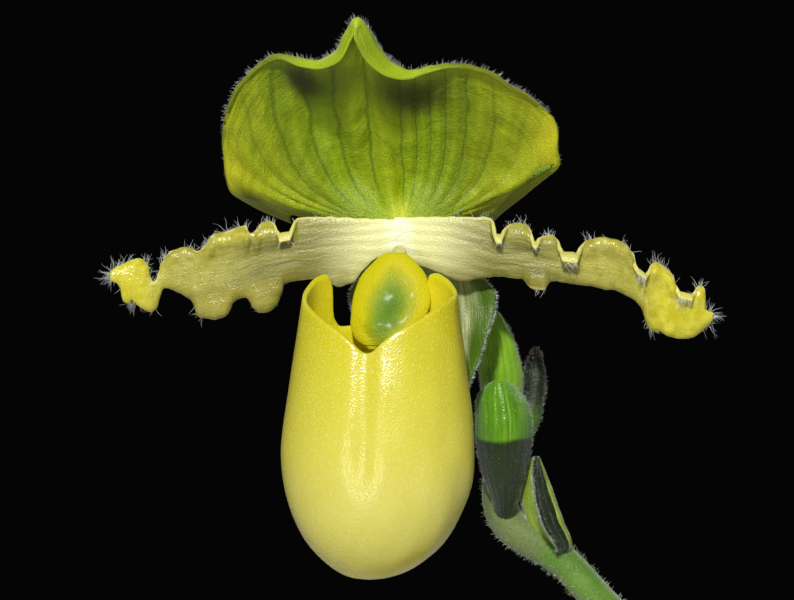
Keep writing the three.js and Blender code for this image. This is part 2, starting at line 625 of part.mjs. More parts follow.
const buds = {
  bud: {
    path: [[11.5, 6.3, -28.8], [11.3, 6.0, -26], [11.4, 5.6, -22], [11.4, 5.7, -18.6]],
    radius: [[0, 0.6], [0.25, 1.2], [0.6, 1.35], [0.9, 0.8], [1, 0.3]],
  },
  young_bud: {
    path: [[14.1, 11.3, -23.4], [14.7, 11.9, -20], [15.2, 12.2, -16.5], [15.4, 12.0, -12.9]],
    radius: [[0, 0.7], [0.3, 1.5], [0.6, 1.45], [0.9, 0.8], [1, 0.3]],
  },
  ovary: {
    path: [
      [11.3, 10.6, -21.8], [10.6, 11.2, -17], [8.4, 11.6, -10.5], [4.3, 10.2, -3.6], [1.2, 6.2, -0.6],
      [0, 2.2, 0],
    ],
    radius: [[0, 1.1], [0.2, 1.25], [0.5, 1.9], [0.8, 2.1], [1, 1.5]],
  },
  column: {
    path: [[0.2, -1.2, -2.2], [0.3, -2.6, -3.1], [0, -4.2, -5.4], [-0.7, -5.0, -8.6], [-1.6, -6.1, -11.6]],
    radius: [[0, 0.8], [0.25, 1.0], [0.5, 1.2], [0.75, 1.7], [0.9, 1.5], [1, 0.8]],
  },
};

function budGeometry(bud, sides, steps) {
  const path = new THREE.CatmullRomCurve3(bud.path.map((p) => new THREE.Vector3(...p)));
  return stalk(path, (t) => through(bud.radius, t), sides, steps);
}

// The flower: what is laid out from the front, and inside it what turns with the flower's own axis
function addFlower() {
  const flower = new THREE.Group();
  flower.position.copy(flowerCentre);
  group.add(flower);
  addPart(flower, 'dorsal_sepal', blade(dorsalPoint, 9, 36, sepalThickness), finishes.sepal);
  const rightPetal = blade((u, v) => petalPoint(petals.right, u, v), 44, 6, petalThickness);
  addPart(flower, 'petal_right', rightPetal, finishes.petal);
  const leftPetal = blade((u, v) => petalPoint(petals.left, u, v), 42, 6, petalThickness);
  addPart(flower, 'petal_left', leftPetal, finishes.petal);
  addPart(flower, 'ovary', budGeometry(buds.ovary, 8, 10), finishes.stem);
  addPart(flower, 'bud', budGeometry(buds.bud, 8, 7), finishes.bud);
  addPart(flower, 'young_bud', budGeometry(buds.young_bud, 8, 7), finishes.bud);
  for (const [name, bract] of Object.entries(bracts)) {
    addPart(flower, name, blade((u, v) => bractPoint(bract, u, v), 9, 6, bractThickness), finishes.bract);
  }
  const heart = new THREE.Group();
  heart.rotation.z = flowerYaw;
  flower.add(heart);
  addPart(heart, 'synsepal', blade(synsepalPoint, 9, 6, sepalThickness), finishes.sepal);
  addPart(heart, 'pouch', cup(pouchPoint, pouchTurns, 9, pouchWall), finishes.pouch);
  addPart(heart, 'staminode', blade(shieldPoint, 8, 6, 0.9), finishes.shield);
  addPart(heart, 'column', budGeometry(buds.column, 8, 8), finishes.column);
}

const stemHole = scapeGeometry(gap);
const crownHole = addFan({ crown: 'crown', leaf: 'leaf' }, crownPlace, fanTurn, 1, mainLeaves, stemHole);
const shootHole = addFan(
  { crown: 'shoot_crown', leaf: 'shoot_leaf' }, shootPlace, shootTurn, shootScale, shootLeaves, null,
);
addPart(group, 'pot', potGeometry(), finishes.clay);
addPart(group, 'potting_bark', barkGeometry([crownHole, shootHole]), finishes.bark);
addPart(group, 'scape', scapeGeometry(0), finishes.stem);
addFlower();

export default group;
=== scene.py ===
import math

import bpy
import numpy as np
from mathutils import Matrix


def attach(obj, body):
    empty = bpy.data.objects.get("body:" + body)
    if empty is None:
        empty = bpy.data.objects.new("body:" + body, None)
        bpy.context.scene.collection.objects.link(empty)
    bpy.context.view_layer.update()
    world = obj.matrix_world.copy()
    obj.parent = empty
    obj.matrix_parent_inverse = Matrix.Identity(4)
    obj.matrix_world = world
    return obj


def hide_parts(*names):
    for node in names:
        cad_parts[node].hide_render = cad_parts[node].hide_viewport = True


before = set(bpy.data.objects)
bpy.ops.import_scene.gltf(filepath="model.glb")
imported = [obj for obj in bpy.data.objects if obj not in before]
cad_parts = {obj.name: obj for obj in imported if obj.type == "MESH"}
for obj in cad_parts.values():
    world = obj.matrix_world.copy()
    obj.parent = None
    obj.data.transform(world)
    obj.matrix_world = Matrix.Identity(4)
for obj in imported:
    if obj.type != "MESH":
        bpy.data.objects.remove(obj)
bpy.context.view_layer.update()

MM = 0.001
# The flower's centre, and how far the pouch and what is behind it are turned about Z, in degrees
FLOWER = np.array([-84.0, -23.0, 294.0])
FLOWER_YAW = -11.0


# Curves and tables

def through(rows, x, column=1):
    """Smooth value at x of a table's column, with no overshoot between its rows"""
    rows = np.asarray(rows, float)
    at, value = rows[:, 0], rows[:, column]
    slope = np.diff(value) / np.diff(at)
    before, after = slope[:-1], slope[1:]
    together = np.where(before * after > 0, before + after, 1)
    inner = np.where(before * after > 0, 2 * before * after / together, 0)
    tangent = np.concatenate([slope[:1], inner, slope[-1:]])
    x = np.clip(x, at[0], at[-1])
    i = np.clip(np.searchsorted(at, x, side="right") - 1, 0, len(at) - 2)
    step = at[i + 1] - at[i]
    t = (x - at[i]) / step
    rest = 1 - t
    ends = value[i] * rest * rest * (1 + 2 * t) + value[i + 1] * t * t * (3 - 2 * t)
    return ends + step * t * rest * (tangent[i] * rest - tangent[i + 1] * t)


def place_through(rows, x):
    """Smooth points at x of a table whose rows are [x, then the point]"""
    return np.stack([through(rows, x, column) for column in (1, 2, 3)], -1)


def spline(points, t):
    """Points at t, from 0 to 1, on a smooth curve through the points"""
    points = np.asarray(points, float)
    last = len(points) - 1
    t = np.clip(t, 0, 1) * last
    i = np.clip(t.astype(int), 0, last - 1)
    s = (t - i)[..., None]
    ends = np.vstack([2 * points[0] - points[1], points, 2 * points[-1] - points[-2]])
    p0, p1, p2, p3 = ends[i], ends[i + 1], ends[i + 2], ends[i + 3]
    d0, d1, d2 = (np.maximum(np.linalg.norm(b - a, axis=-1, keepdims=True), 1e-9) ** 0.5
                  for a, b in ((p0, p1), (p1, p2), (p2, p3)))
    m1 = ((p1 - p0) / d0 - (p2 - p0) / (d0 + d1) + (p2 - p1) / d1) * d1
    m2 = ((p2 - p1) / d1 - (p3 - p1) / (d1 + d2) + (p3 - p2) / d2) * d1
    return (p1 + m1 * s + (3 * (p2 - p1) - 2 * m1 - m2) * s ** 2
            + (2 * (p1 - p2) + m1 + m2) * s ** 3)


def length_along(points):
    """Distance along a line at each of its points"""
    return np.concatenate([[0], np.cumsum(np.linalg.norm(np.diff(points, axis=0), axis=1))])


def even(points, share):
    """The t of a share of a smooth curve's length"""
    t = np.linspace(0, 1, 1200)
    length = length_along(spline(points, t))
    return np.interp(share, length / length[-1], t)


def circle(count):
    """Angles evenly round a circle"""
    return np.linspace(0, 2 * math.pi, count, endpoint=False)


def fading(x, power):
    """A share that falls from 1 in the middle to 0 at -1 and 1, later for a greater power"""
    return np.sqrt(np.clip(1 - np.abs(x) ** power, 0, 1))


def blade_lines(along, across):
    """u from 0 to 1 along a blade, and v from -1 to 1 across it, closer together by its sides"""
    return np.linspace(0, 1, along)[:, None], np.sin(np.linspace(-1, 1, across) * math.pi / 2)[None]


def soft_step(x, low, high):
    """A share that rises smoothly from 0 at low to 1 at high"""
    t = np.clip((x - low) / (high - low), 0, 1)
    return t * t * (3 - 2 * t)


def waves(x, y, size, seed, count=14):
    """Gentle unevenness from -1 to 1, with features of about a size"""
    random = np.random.default_rng(seed)
    total = 0
    for _ in range(count):
        angle, phase = random.uniform(0, 2 * math.pi, 2)
        length = size * random.uniform(0.7, 1.8)
        total = total + np.sin((x * math.cos(angle) + y * math.sin(angle)) * 2 * math.pi / length + phase)
    return total / count ** 0.5 / 1.5


def unit(vectors):
    return vectors / np.maximum(np.linalg.norm(vectors, axis=-1, keepdims=True), 1e-12)


def turned(points, degrees):
    """Points turned about Z"""
    c, s = math.cos(math.radians(degrees)), math.sin(math.radians(degrees))
    x, y, z = points[..., 0], points[..., 1], points[..., 2]
    return np.stack([c * x - s * y, s * x + c * y, z], -1)


def in_flower(points):
    """Places measured from the flower's centre"""
    return points + FLOWER


def in_heart(points):
    """Places measured from the flower's centre, on the pieces that face a little left of the petals"""
    return turned(points, FLOWER_YAW) + FLOWER


# Meshes

def add_piece(name, points, faces, material, slot, stands_for=(), shades=None, smooth=True):
    """A piece of the plant, from points in millimetres, which rides on the part's one body"""
    mesh = bpy.data.meshes.new(name)
    mesh.from_pydata((np.asarray(points) * MM).tolist(), [], faces)
    for key, values in (shades or {}).items():
        layer = mesh.attributes.new(key, "FLOAT", "POINT")
        layer.data.foreach_set("value", np.asarray(values, np.float32).ravel())
    mesh.polygons.foreach_set("use_smooth", np.full(len(mesh.polygons), smooth))
    mesh.materials.append(material)
    mesh.update()
    piece = bpy.data.objects.new(name, mesh)
    bpy.context.scene.collection.objects.link(piece)
    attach(piece, "root")
    if stands_for:
        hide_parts(*stands_for)
    return piece


def grid_normals(grid, around=False):
    """Directions square to a grid of points, which may close on itself from its last column to its first"""
    along, across = np.gradient(grid, axis=(0, 1))
    if around:
        across = np.roll(grid, -1, axis=1) - np.roll(grid, 1, axis=1)
    return unit(np.cross(along, across))


def facing(normals, axis):
    """1 or -1: whether the middle of a grid of normals faces along an axis or against it"""
    return np.sign(normals[normals.shape[0] // 2, normals.shape[1] // 2, axis])


def oval_rings(wide, deep, angle, height):
    """Points of rings about Z, from their half widths along X and Y"""
    return np.stack(np.broadcast_arrays(wide * np.cos(angle), deep * np.sin(angle), height), -1)


def facing_out(points, quads):
    """The faces, turned over if they face inwards"""
    a, b, c, d = (points[quads[:, k]] for k in range(4))
    volume = np.sum(a * np.cross(b, c)) + np.sum(a * np.cross(c, d))
    return quads[:, ::-1] if volume < 0 else quads


def add_blade(name, grid, half, material, slot, node, shades, side=None):
    """A thin closed blade about a grid of points. Its two faces meet all round its edge.

    side is a layer's name, and whether it marks the blade's first side or its second one.
    """
    rows, columns = grid.shape[:2]
    normals = grid_normals(grid)
    inner = np.zeros((rows, columns), bool)
    inner[1:-1, 1:-1] = True
    top = np.where(inner[..., None], grid + normals * half[..., None], grid)
    points = np.concatenate([top.reshape(-1, 3), (grid - normals * half[..., None])[inner]])
    upper = np.arange(rows * columns).reshape(rows, columns)
    lower = upper.copy()
    lower[inner] = rows * columns + np.arange(inner.sum())
    one = np.stack([upper[:-1, :-1], upper[:-1, 1:], upper[1:, 1:], upper[1:, :-1]], -1)
    two = np.stack([lower[:-1, :-1], lower[1:, :-1], lower[1:, 1:], lower[:-1, 1:]], -1)
    quads = facing_out(points, np.concatenate([one.reshape(-1, 4), two.reshape(-1, 4)]))
    layers = {}
    for key, values in shades.items():
        values = np.broadcast_to(values, inner.shape)
        layers[key] = np.concatenate([values.ravel(), values[inner]])
    if side:
        first = np.repeat([1, 0], [rows * columns, inner.sum()])
        layers[side[0]] = first if side[1] else 1 - first
    return add_piece(name, points, quads.tolist(), material, slot, [node], layers)


def ringed(rings, start, end):
    """Points and faces of a closed body, from its rings and the points that close its ends"""
    rows, columns = rings.shape[:2]
    points = np.concatenate([rings.reshape(-1, 3), [start, end]])
    here = np.arange(rows * columns).reshape(rows, columns)
    after = np.roll(here, -1, axis=1)
    quads = np.stack([here[:-1], after[:-1], after[1:], here[1:]], -1).reshape(-1, 4)
    faces = facing_out(points, quads)
    flipped = faces[0, 0] != quads[0, 0]
    first = [[rows * columns, b, a] for a, b in zip(here[0], after[0])]
    last = [[rows * columns + 1, a, b] for a, b in zip(here[-1], after[-1])]
    fans = [face[::-1] if flipped else face for face in first + last]
    return points, faces.tolist() + fans


def on_rings(values, rings, start=0, end=0):
    """A layer's values on rings, and at the two points that close their ends"""
    return np.append(np.broadcast_to(values, rings.shape[:2]), [start, end])


def stalk_rings(line, radius, sides, ribs):
    """Rings of a stalk about a line of points. Its ribs [how many, how deep] fade towards both ends."""
    tangent = unit(np.gradient(line, axis=0))
    side = np.cross(tangent[0], [0, 1, 0.1])
    angle = circle(sides)
    depth = ribs[1] * np.sin(math.pi * np.linspace(0, 1, len(line))) ** 0.5
    rings = []
    for k in range(len(line)):
        side = unit(side - tangent[k] * np.dot(side, tangent[k]))
        other = np.cross(tangent[k], side)
        size = radius[k] * (1 + depth[k] * np.cos(ribs[0] * angle))
        rings.append(line[k] + (np.outer(np.cos(angle) * size, side) + np.outer(np.sin(angle) * size, other)))
    return np.array(rings)


def add_hairs(name, roots, aims, lengths, material, slot, radius, curl, steps, seed, droop=0.0):
    """Tapered three-sided hairs that grow from the roots along the aims"""
    random = np.random.default_rng(seed)
    count = len(roots)
    lengths = lengths[:, None, None]
    aims = unit(aims)
    side = unit(np.cross(aims, random.normal(size=(count, 3))))
    other = np.cross(aims, side)
    s = np.linspace(0, 1, steps + 1)[None, :, None]
    phase = random.uniform(0, 2 * math.pi, (count, 2, 1, 1))
    turns = random.uniform(0.35, 1.1, (count, 2, 1, 1)) * 2 * math.pi
    sway = [curl * lengths * (np.sin(phase[:, k] + turns[:, k] * s) - np.sin(phase[:, k])) for k in (0, 1)]
    line = roots[:, None] + aims[:, None] * lengths * s * (1 - 0.3 * curl)
    line = line + side[:, None] * sway[0] + other[:, None] * sway[1]
    line[..., 2] -= (droop * lengths * s ** 2)[..., 0]
    width = radius * (1 - s) ** 0.8 + 0.15 * radius
    rings = np.stack([line + side[:, None] * math.cos(a) * width + other[:, None] * math.sin(a) * width
                      for a in circle(3)], 2)
    points = np.concatenate([rings[:, :-1].reshape(count, -1, 3), line[:, -1:]], 1)
    faces = [[0, 2, 1]]
    for k in range(steps - 1):
        for j in range(3):
            a, b = 3 * k + j, 3 * k + (j + 1) % 3
            faces += [[a, b, b + 3], [a, b + 3, a + 3]]
    tip = points.shape[1] - 1
    faces += [[tip - 3 + j, tip - 3 + (j + 1) % 3, tip] for j in range(3)]
    every = (np.array(faces)[None] + (np.arange(count) * (tip + 1))[:, None, None]).reshape(-1, 3)
    return add_piece(name, points.reshape(-1, 3), every.tolist(), material, slot)


# Finishes

def tint(red, green, blue):
    """A colour as seen on a screen, as the amounts of light it reflects"""
    shares = [c / 255 for c in (red, green, blue)]
    return tuple(c / 12.92 if c <= 0.04045 else ((c + 0.055) / 1.055) ** 2.4 for c in shares) + (1.0,)


class Finish:
    """A surface's material and the nodes that make its colour, gloss and relief.

    A colour is a node's output, or its red, green and blue as seen on a screen.
    """

    def __init__(self, name):
        self.material = bpy.data.materials.new(name)
        self.material.use_nodes = True
        self.tree = self.material.node_tree
        self.shader = self.tree.nodes["Principled BSDF"]
        place = self.tree.nodes.new("ShaderNodeTexCoord").outputs["Object"]
        self.place = self.node("VectorMath", {0: place, "Scale": 1 / MM}, operation="SCALE").outputs[0]

    def node(self, kind, inputs, **settings):
        made = self.tree.nodes.new("ShaderNode" + kind)
        for key, value in settings.items():
            setattr(made, key, value)
        for key, value in inputs.items():
            self.feed(made.inputs[key], value)
        return made

    def feed(self, socket, value):
        if isinstance(value, bpy.types.NodeSocket):
            self.tree.links.new(value, socket)
        else:
            socket.default_value = value

    def shade(self, name):
        """One of the piece's own layers of values"""
        return self.node("Attribute", {}, attribute_name=name).outputs["Fac"]

    def math(self, operation, a, b=0.0):
        return self.node("Math", {0: a, 1: b}, operation=operation).outputs[0]

    def times(self, a, b):
        return self.math("MULTIPLY", a, b)

    def plus(self, a, b):
        return self.math("ADD", a, b)

    def minus(self, a, b):
        return self.math("SUBTRACT", a, b)

    def rest(self, share):
        """What a share leaves of 1"""
        return self.minus(1.0, share)

    def apart(self, a, b):
        return self.math("ABSOLUTE", self.minus(a, b))

    def smooth(self, value, low, high):
        """A share that rises smoothly from 0 at low to 1 at high"""
        inputs = {"Value": value, "From Min": low, "From Max": high}
        return self.node("MapRange", inputs, interpolation_type="SMOOTHSTEP").outputs["Result"]

    def noise(self, scale, detail=3.0, vector=None, roughness=0.5):
        inputs = {"Vector": vector or self.place, "Scale": scale, "Detail": detail, "Roughness": roughness}
        return self.node("TexNoise", inputs).outputs["Fac"]

    def sway(self, scale, detail, amount):
        """Noise about zero"""
        return self.times(self.minus(self.noise(scale, detail), 0.5), amount)

    def patches(self, scale, low, high, detail=3.0):
        return self.smooth(self.noise(scale, detail), low, high)

    def streaks(self, x, x_scale, y, y_scale, detail):
        """Noise over two layers of values, each with its own scale"""
        place = self.node("CombineXYZ", {0: self.times(x, x_scale), 1: self.times(y, y_scale)}).outputs[0]
        return self.noise(1.0, detail, place)

    def mix(self, share, a, b):
        a, b = (tint(*color) if isinstance(color, tuple) else color for color in (a, b))
        return self.node("Mix", {0: share, 6: a, 7: b}, data_type="RGBA").outputs[2]

    def layered(self, color, *layers):
        """A colour under layers, each one where it lies, how strong it is, and its colour"""
        for where, strength, over in layers:
            color = self.mix(self.times(where, strength), color, over)
        return color

    def ramp(self, value, stops):
        made = self.node("ValToRGB", {"Fac": value})
        band = made.color_ramp
        while len(band.elements) < len(stops):
            band.elements.new(0.5)
        for element, (at, color) in zip(band.elements, stops):
            element.position = at
            element.color = tint(*color)
        return made.outputs["Color"]

    def relief(self, height, depth, below=None):
        """A relief whose height, from 0 to 1, stands for a depth in millimetres, on top of one below it"""
        inputs = {"Height": height, "Distance": depth * MM}
        if below:
            inputs["Normal"] = below
        return self.node("Bump", inputs).outputs["Normal"]

    def cell_relief(self, scale, depth):
        distance = self.node("TexVoronoi", {"Vector": self.place, "Scale": scale}).outputs["Distance"]
        return self.relief(distance, depth)

    def done(self, color, normal=None, roughness=0.5, **constants):
        self.feed(self.shader.inputs["Base Color"], color)
        self.feed(self.shader.inputs["Roughness"], roughness)
        if normal:
            self.feed(self.shader.inputs["Normal"], normal)
        for key, value in constants.items():
            self.shader.inputs[key.replace("_", " ").title().replace("Ior", "IOR")].default_value = value
        return self.material


THIN = dict(subsurface_weight=0.25, subsurface_radius=(1.0, 0.9, 0.2), subsurface_scale=0.0007)


def sepal_finish():
    """Dorsal sepal: green in its middle, olive to yellow at its sides, with dark veins, a lime margin, and
    painted shade under its rolled margin
    """
    f = Finish("dorsal sepal")
    vein, u, far = f.shade("vein"), f.shade("u"), f.shade("far")
    mottle = f.noise(0.45, 4)
    reach = f.plus(far, f.times(f.minus(mottle, 0.5), 0.25))
    color = f.ramp(reach, [(0.0, (152, 172, 6)), (0.2, (136, 160, 4)), (0.36, (124, 144, 6)),
                           (0.52, (154, 166, 14)), (0.8, (172, 178, 20))])
    ripple = f.math("PINGPONG", f.plus(vein, f.sway(0.35, 2, 0.4)), 0.5)
    fade = f.times(f.smooth(u, 0.03, 0.2), f.rest(f.smooth(u, 0.68, 0.8)))
    middle = f.rest(f.smooth(far, 0.34, 0.62))
    line = f.times(f.rest(f.smooth(ripple, 0.0, 0.14)), f.plus(f.times(middle, 0.4), 0.2))
    net = f.streaks(vein, 1.3, u, 22, 3)
    lip = f.smooth(u, 0.79, 0.83)
    back = f.mix(f.smooth(mottle, 0.3, 0.7), (104, 146, 26), (136, 164, 44))
    color = f.layered(
        color,
        (f.rest(f.smooth(u, 0.0, 0.13)), 0.5, (168, 194, 0)),
        (f.shade("foot"), 0.85, (222, 228, 70)),
        (f.times(line, fade), 1, (62, 100, 0)),
        (f.times(f.smooth(ripple, 0.3, 0.5), fade), 0.2, (182, 208, 20)),
        (f.times(f.smooth(net, 0.5, 0.7), fade), 0.35, (80, 126, 0)),
        (f.patches(3.4, 0.56, 0.72), 0.22, (214, 216, 70)),
        # painted shade: dark olive where the rolled margin's shadow falls, and on the reflexed lower margins
        (f.times(f.shade("deep"), f.rest(lip)), 1, (44, 50, 6)),
        (lip, 0.8, (118, 130, 20)),
        (f.times(lip, f.shade("lime")), 1, (166, 190, 34)),
        (f.shade("gold"), 0.6, (222, 214, 34)),
        (f.times(f.shade("rear"), f.rest(lip)), 0.75, back),
    )
    normal = f.relief(net, 0.22, f.cell_relief(5.0, 0.06))
    shine = f.plus(0.3, f.times(f.noise(2.0, 2), 0.25))
    return f.done(color, normal, shine, specular_ior_level=0.35, subsurface_weight=0.08,
                  subsurface_radius=(1.0, 0.9, 0.2), subsurface_scale=0.0005)


def petal_finish():
    """Petals: cream by the middle, grey-green with veins and pale streaks painted as sheen along the strap,
    darker towards the lower margin as painted shade, glossy yellow at lobes and tips
    """
    f = Finish("petal")
    out, across = f.shade("out"), f.shade("across")
    below = f.times(across, -1.0)
    lane = f.plus(across, f.sway(0.3, 2, 1.2))
    fine = f.streaks(out, 0.3, lane, 4.0, 4)
    strap = f.layered(
        f.mix(f.smooth(f.streaks(out, 0.10, lane, 1.5, 3), 0.32, 0.68), (112, 110, 38), (158, 154, 76)),
        (f.rest(f.smooth(fine, 0.34, 0.5)), 0.45, (104, 102, 40)),
        # pale streaks painted as a silvery sheen between the veins
        (f.smooth(fine, 0.56, 0.72), 0.3, (212, 210, 128)),
        # painted shade: the strap darker towards its lower margin, which faces down
        (f.smooth(below, 0.4, 2.6), 0.45, (108, 104, 40)),
        (f.rest(f.smooth(out, 2.0, 11.0)), 0.9, (250, 248, 176)),
        (f.rest(f.smooth(out, 0.4, 2.4)), 0.9, (255, 255, 214)),
    )
    mottle = f.patches(1.1, 0.35, 0.65)
    tip = f.smooth(out, 24.0, 29.0)
    yellow = f.layered(
        f.mix(mottle, (186, 178, 56), (208, 200, 86)),
        # painted shade: the lobes darker towards the lower margin
        (f.smooth(below, 1.2, 2.8), 0.7, (158, 150, 58)),
        (tip, 1, f.mix(mottle, (208, 198, 36), (226, 216, 70))),
    )
    outer = f.plus(0.2, f.times(f.smooth(out, 10.0, 17.0), 0.65))
    lobes = f.times(f.smooth(f.apart(across, 0.0), 1.5, 3.1), outer)
    gold = f.math("MAXIMUM", lobes, f.times(f.smooth(out, 14.0, 22.0), 0.6))
    gold = f.math("MAXIMUM", gold, f.times(tip, 0.92))
    color = f.layered(
        strap,
        (gold, 1, yellow),
        (f.shade("curled"), 0.75, (224, 220, 116)),
        (f.smooth(f.shade("edge"), 0.88, 0.98), 0.6, (240, 236, 140)),
    )
    normal = f.relief(fine, 0.06, f.cell_relief(4.2, 0.04))
    return f.done(color, normal, f.minus(0.4, f.times(gold, 0.23)), specular_ior_level=0.5, **THIN)


def pouch_finish():
    """Pouch: deep yellow by its mouth, paler at its toe, with fine cells in relief, and fine pale specks
    painted as their sparkle
    """
    f = Finish("pouch")
    color = f.layered(
        f.ramp(f.shade("height"), [(0.0, (224, 214, 96)), (0.3, (228, 219, 98)), (0.6, (222, 213, 66)),
                                   (0.85, (214, 204, 26)), (1.0, (210, 198, 8))]),
        (f.patches(0.28, 0.35, 0.75), 0.3, (216, 206, 70)),
        # painted glints: fine pale specks for the sparkle of the cells
        (f.patches(5.0, 0.55, 0.7), 0.4, (250, 246, 170)),
        (f.rest(f.shade("outside")), 0.7, (240, 226, 34)),
    )
    normal = f.relief(f.noise(1.1), 0.03, f.cell_relief(5.5, 0.022))
    return f.done(color, normal, 0.22, specular_ior_level=0.85, subsurface_weight=0.25,
                  subsurface_radius=(1.0, 0.85, 0.15), subsurface_scale=0.001)


def shield_finish():
    """Staminode: a wet yellow shield with a green patch in its middle"""
    f = Finish("shield")
    beside = f.times(f.minus(f.shade("v"), 0.05), 1.45)
    above = f.times(f.minus(f.shade("u"), 0.6), 1.9)
    apart = f.math("SQRT", f.plus(f.times(beside, beside), f.times(above, above)))
    color = f.ramp(f.plus(apart, f.sway(0.6, 3, 0.3)), [
        (0.1, (92, 128, 0)), (0.42, (120, 150, 0)), (0.75, (178, 180, 6)), (0.95, (208, 198, 12)),
    ])
    normal = f.relief(f.noise(2.6), 0.05, f.cell_relief(4.5, 0.05))
    return f.done(color, normal, 0.5, specular_ior_level=0.25, coat_weight=0.03, coat_roughness=0.15,
                  subsurface_weight=0.25, subsurface_radius=(1.0, 0.9, 0.15), subsurface_scale=0.0009)


def column_finish():
    """Column: pale cream"""
    f = Finish("column")
    color = f.mix(f.patches(0.8, 0.3, 0.7), (206, 202, 120), (226, 222, 156))
    return f.done(color, f.relief(f.noise(3.0), 0.08), 0.45, **THIN)


def synsepal_finish():
    """Synsepal: silvery grey-green inside with fine streaks and pale flecks painted as glints, green margins
    and a brighter outside
    """
    f = Finish("synsepal")
    u, across = f.shade("u"), f.shade("across")
    streaks = f.streaks(u, 5, across, 2.6, 3)
    color = f.layered(
        f.mix(f.smooth(streaks, 0.3, 0.7), (128, 142, 76), (182, 192, 136)),
        # painted sheen: pale flecks along the streaks, as silvery glints
        (f.smooth(f.streaks(u, 26, across, 5, 2), 0.6, 0.72), 0.4, (214, 220, 180)),
        (f.smooth(f.shade("edge"), 0.66, 0.84), 1, (80, 112, 20)),
        (f.rest(f.shade("inside")), 0.9, (124, 152, 48)),
    )
    return f.done(color, f.relief(streaks, 0.12, f.cell_relief(5.0, 0.04)), 0.42, **THIN)


def bract_finish():
    """Bracts: green, velvety outside with a pale rib, brighter green as painted light on one, and deep green
    as painted shade and shadow
    """
    f = Finish("bract")
    u, v = f.shade("u"), f.shade("v")
    lines = f.streaks(u, 3, v, 9, 3)
    rib = f.rest(f.smooth(f.apart(v, 0.14), 0.0, 0.06))
    green = f.layered(
        f.mix(f.smooth(lines, 0.3, 0.7), (84, 142, 10), (112, 170, 24)),
        (f.times(rib, f.smooth(u, 0.1, 0.4)), 0.5, (176, 214, 84)),
        (f.smooth(f.apart(v, 0.0), 0.6, 0.95), 0.45, (58, 104, 16)),
        # painted light: brighter green on a bract that lies in shade
        (f.shade("painted_light"), 1, (150, 200, 40)),
    )
    color = f.layered(
        f.mix(f.smooth(lines, 0.3, 0.7), (118, 146, 36), (140, 162, 54)),
        (f.shade("outside"), 1, green),
        # painted shadow and shade: deep green
        (f.shade("painted_shade"), 1, (18, 34, 6)),
    )
    normal = f.relief(lines, 0.12, f.cell_relief(4.0, 0.05))
    return f.done(color, normal, 0.34, sheen_weight=0.15, sheen_roughness=0.5, **THIN)


def bud_finish():
    """Buds: dark green, lighter at the foot, with a brown tip"""
    f = Finish("bud")
    u = f.shade("u")
    color = f.layered(
        f.mix(f.patches(0.9, 0.3, 0.7), (16, 28, 5), (26, 42, 9)),
        (f.rest(f.smooth(u, 0.15, 0.5)), 0.7, (88, 136, 30)),
        (f.smooth(u, 0.84, 0.99), 1, (104, 70, 40)),
    )
    return f.done(color, f.relief(f.noise(3.0, 4), 0.12), 0.5, sheen_weight=0.1, sheen_roughness=0.5)


def stem_finish():
    """Stem and ovary: green, darker in patches, and greyer where the bracts grow"""
    f = Finish("stem")
    color = f.mix(f.patches(0.35, 0.3, 0.7), (84, 128, 26), (106, 146, 38))
    color = f.mix(f.shade("grey"), color, (116, 126, 74))
    return f.done(color, f.relief(f.noise(2.4, 4), 0.10), 0.5, sheen_weight=0.35, sheen_roughness=0.5,
                  subsurface_weight=0.15, subsurface_radius=(0.6, 1.0, 0.2), subsurface_scale=0.0012)


def leaf_finish():
    """Leaves: dark green and waxy above with faint mottling and veins, paler below"""
    f = Finish("leaf")
    along, across = f.shade("along"), f.shade("across")
    veins = f.streaks(along, 0.03, across, 1.5, 3)
    dark = f.layered(
        f.mix(f.smooth(f.streaks(along, 0.16, across, 0.3, 4), 0.38, 0.64), (46, 92, 32), (76, 122, 46)),
        (f.smooth(veins, 0.5, 0.75), 0.35, (106, 144, 62)),
        (f.rest(f.smooth(f.apart(across, 0.0), 0.0, 0.9)), 0.45, (34, 72, 22)),
    )
    color = f.layered(
        f.mix(f.smooth(veins, 0.35, 0.65), (100, 134, 66), (124, 154, 84)),
        (f.shade("upper"), 1, dark),
        (f.rest(f.smooth(along, 2.0, 26.0)), 0.65, (164, 176, 96)),
        (f.smooth(f.shade("edge"), 0.95, 1.0), 0.4, (150, 170, 100)),
    )
    normal = f.relief(veins, 0.18, f.relief(f.noise(2.5), 0.03))
    shine = f.plus(0.28, f.times(f.noise(0.3), 0.2))
    return f.done(color, normal, shine, specular_ior_level=0.5, subsurface_weight=0.12,
                  subsurface_radius=(0.6, 1.0, 0.2), subsurface_scale=0.001)


def crown_finish():
    """Crowns: green sheaths with brown streaks, brown at the foot, each with a papery edge"""
    f = Finish("crown")
    streak = f.streaks(f.shade("turn"), 4.0, f.shade("u"), 3.0, 4)
    color = f.layered(
        f.ramp(f.shade("u"), [(0.0, (112, 92, 56)), (0.25, (120, 124, 66)), (0.6, (96, 122, 50)),
                              (1.0, (70, 104, 34))]),
        (f.smooth(streak, 0.45, 0.7), 0.5, (120, 96, 58)),
        (f.smooth(f.shade("edge"), 0.82, 0.97), 0.8, (186, 160, 104)),
    )
    return f.done(color, f.relief(streak, 0.3), 0.55)


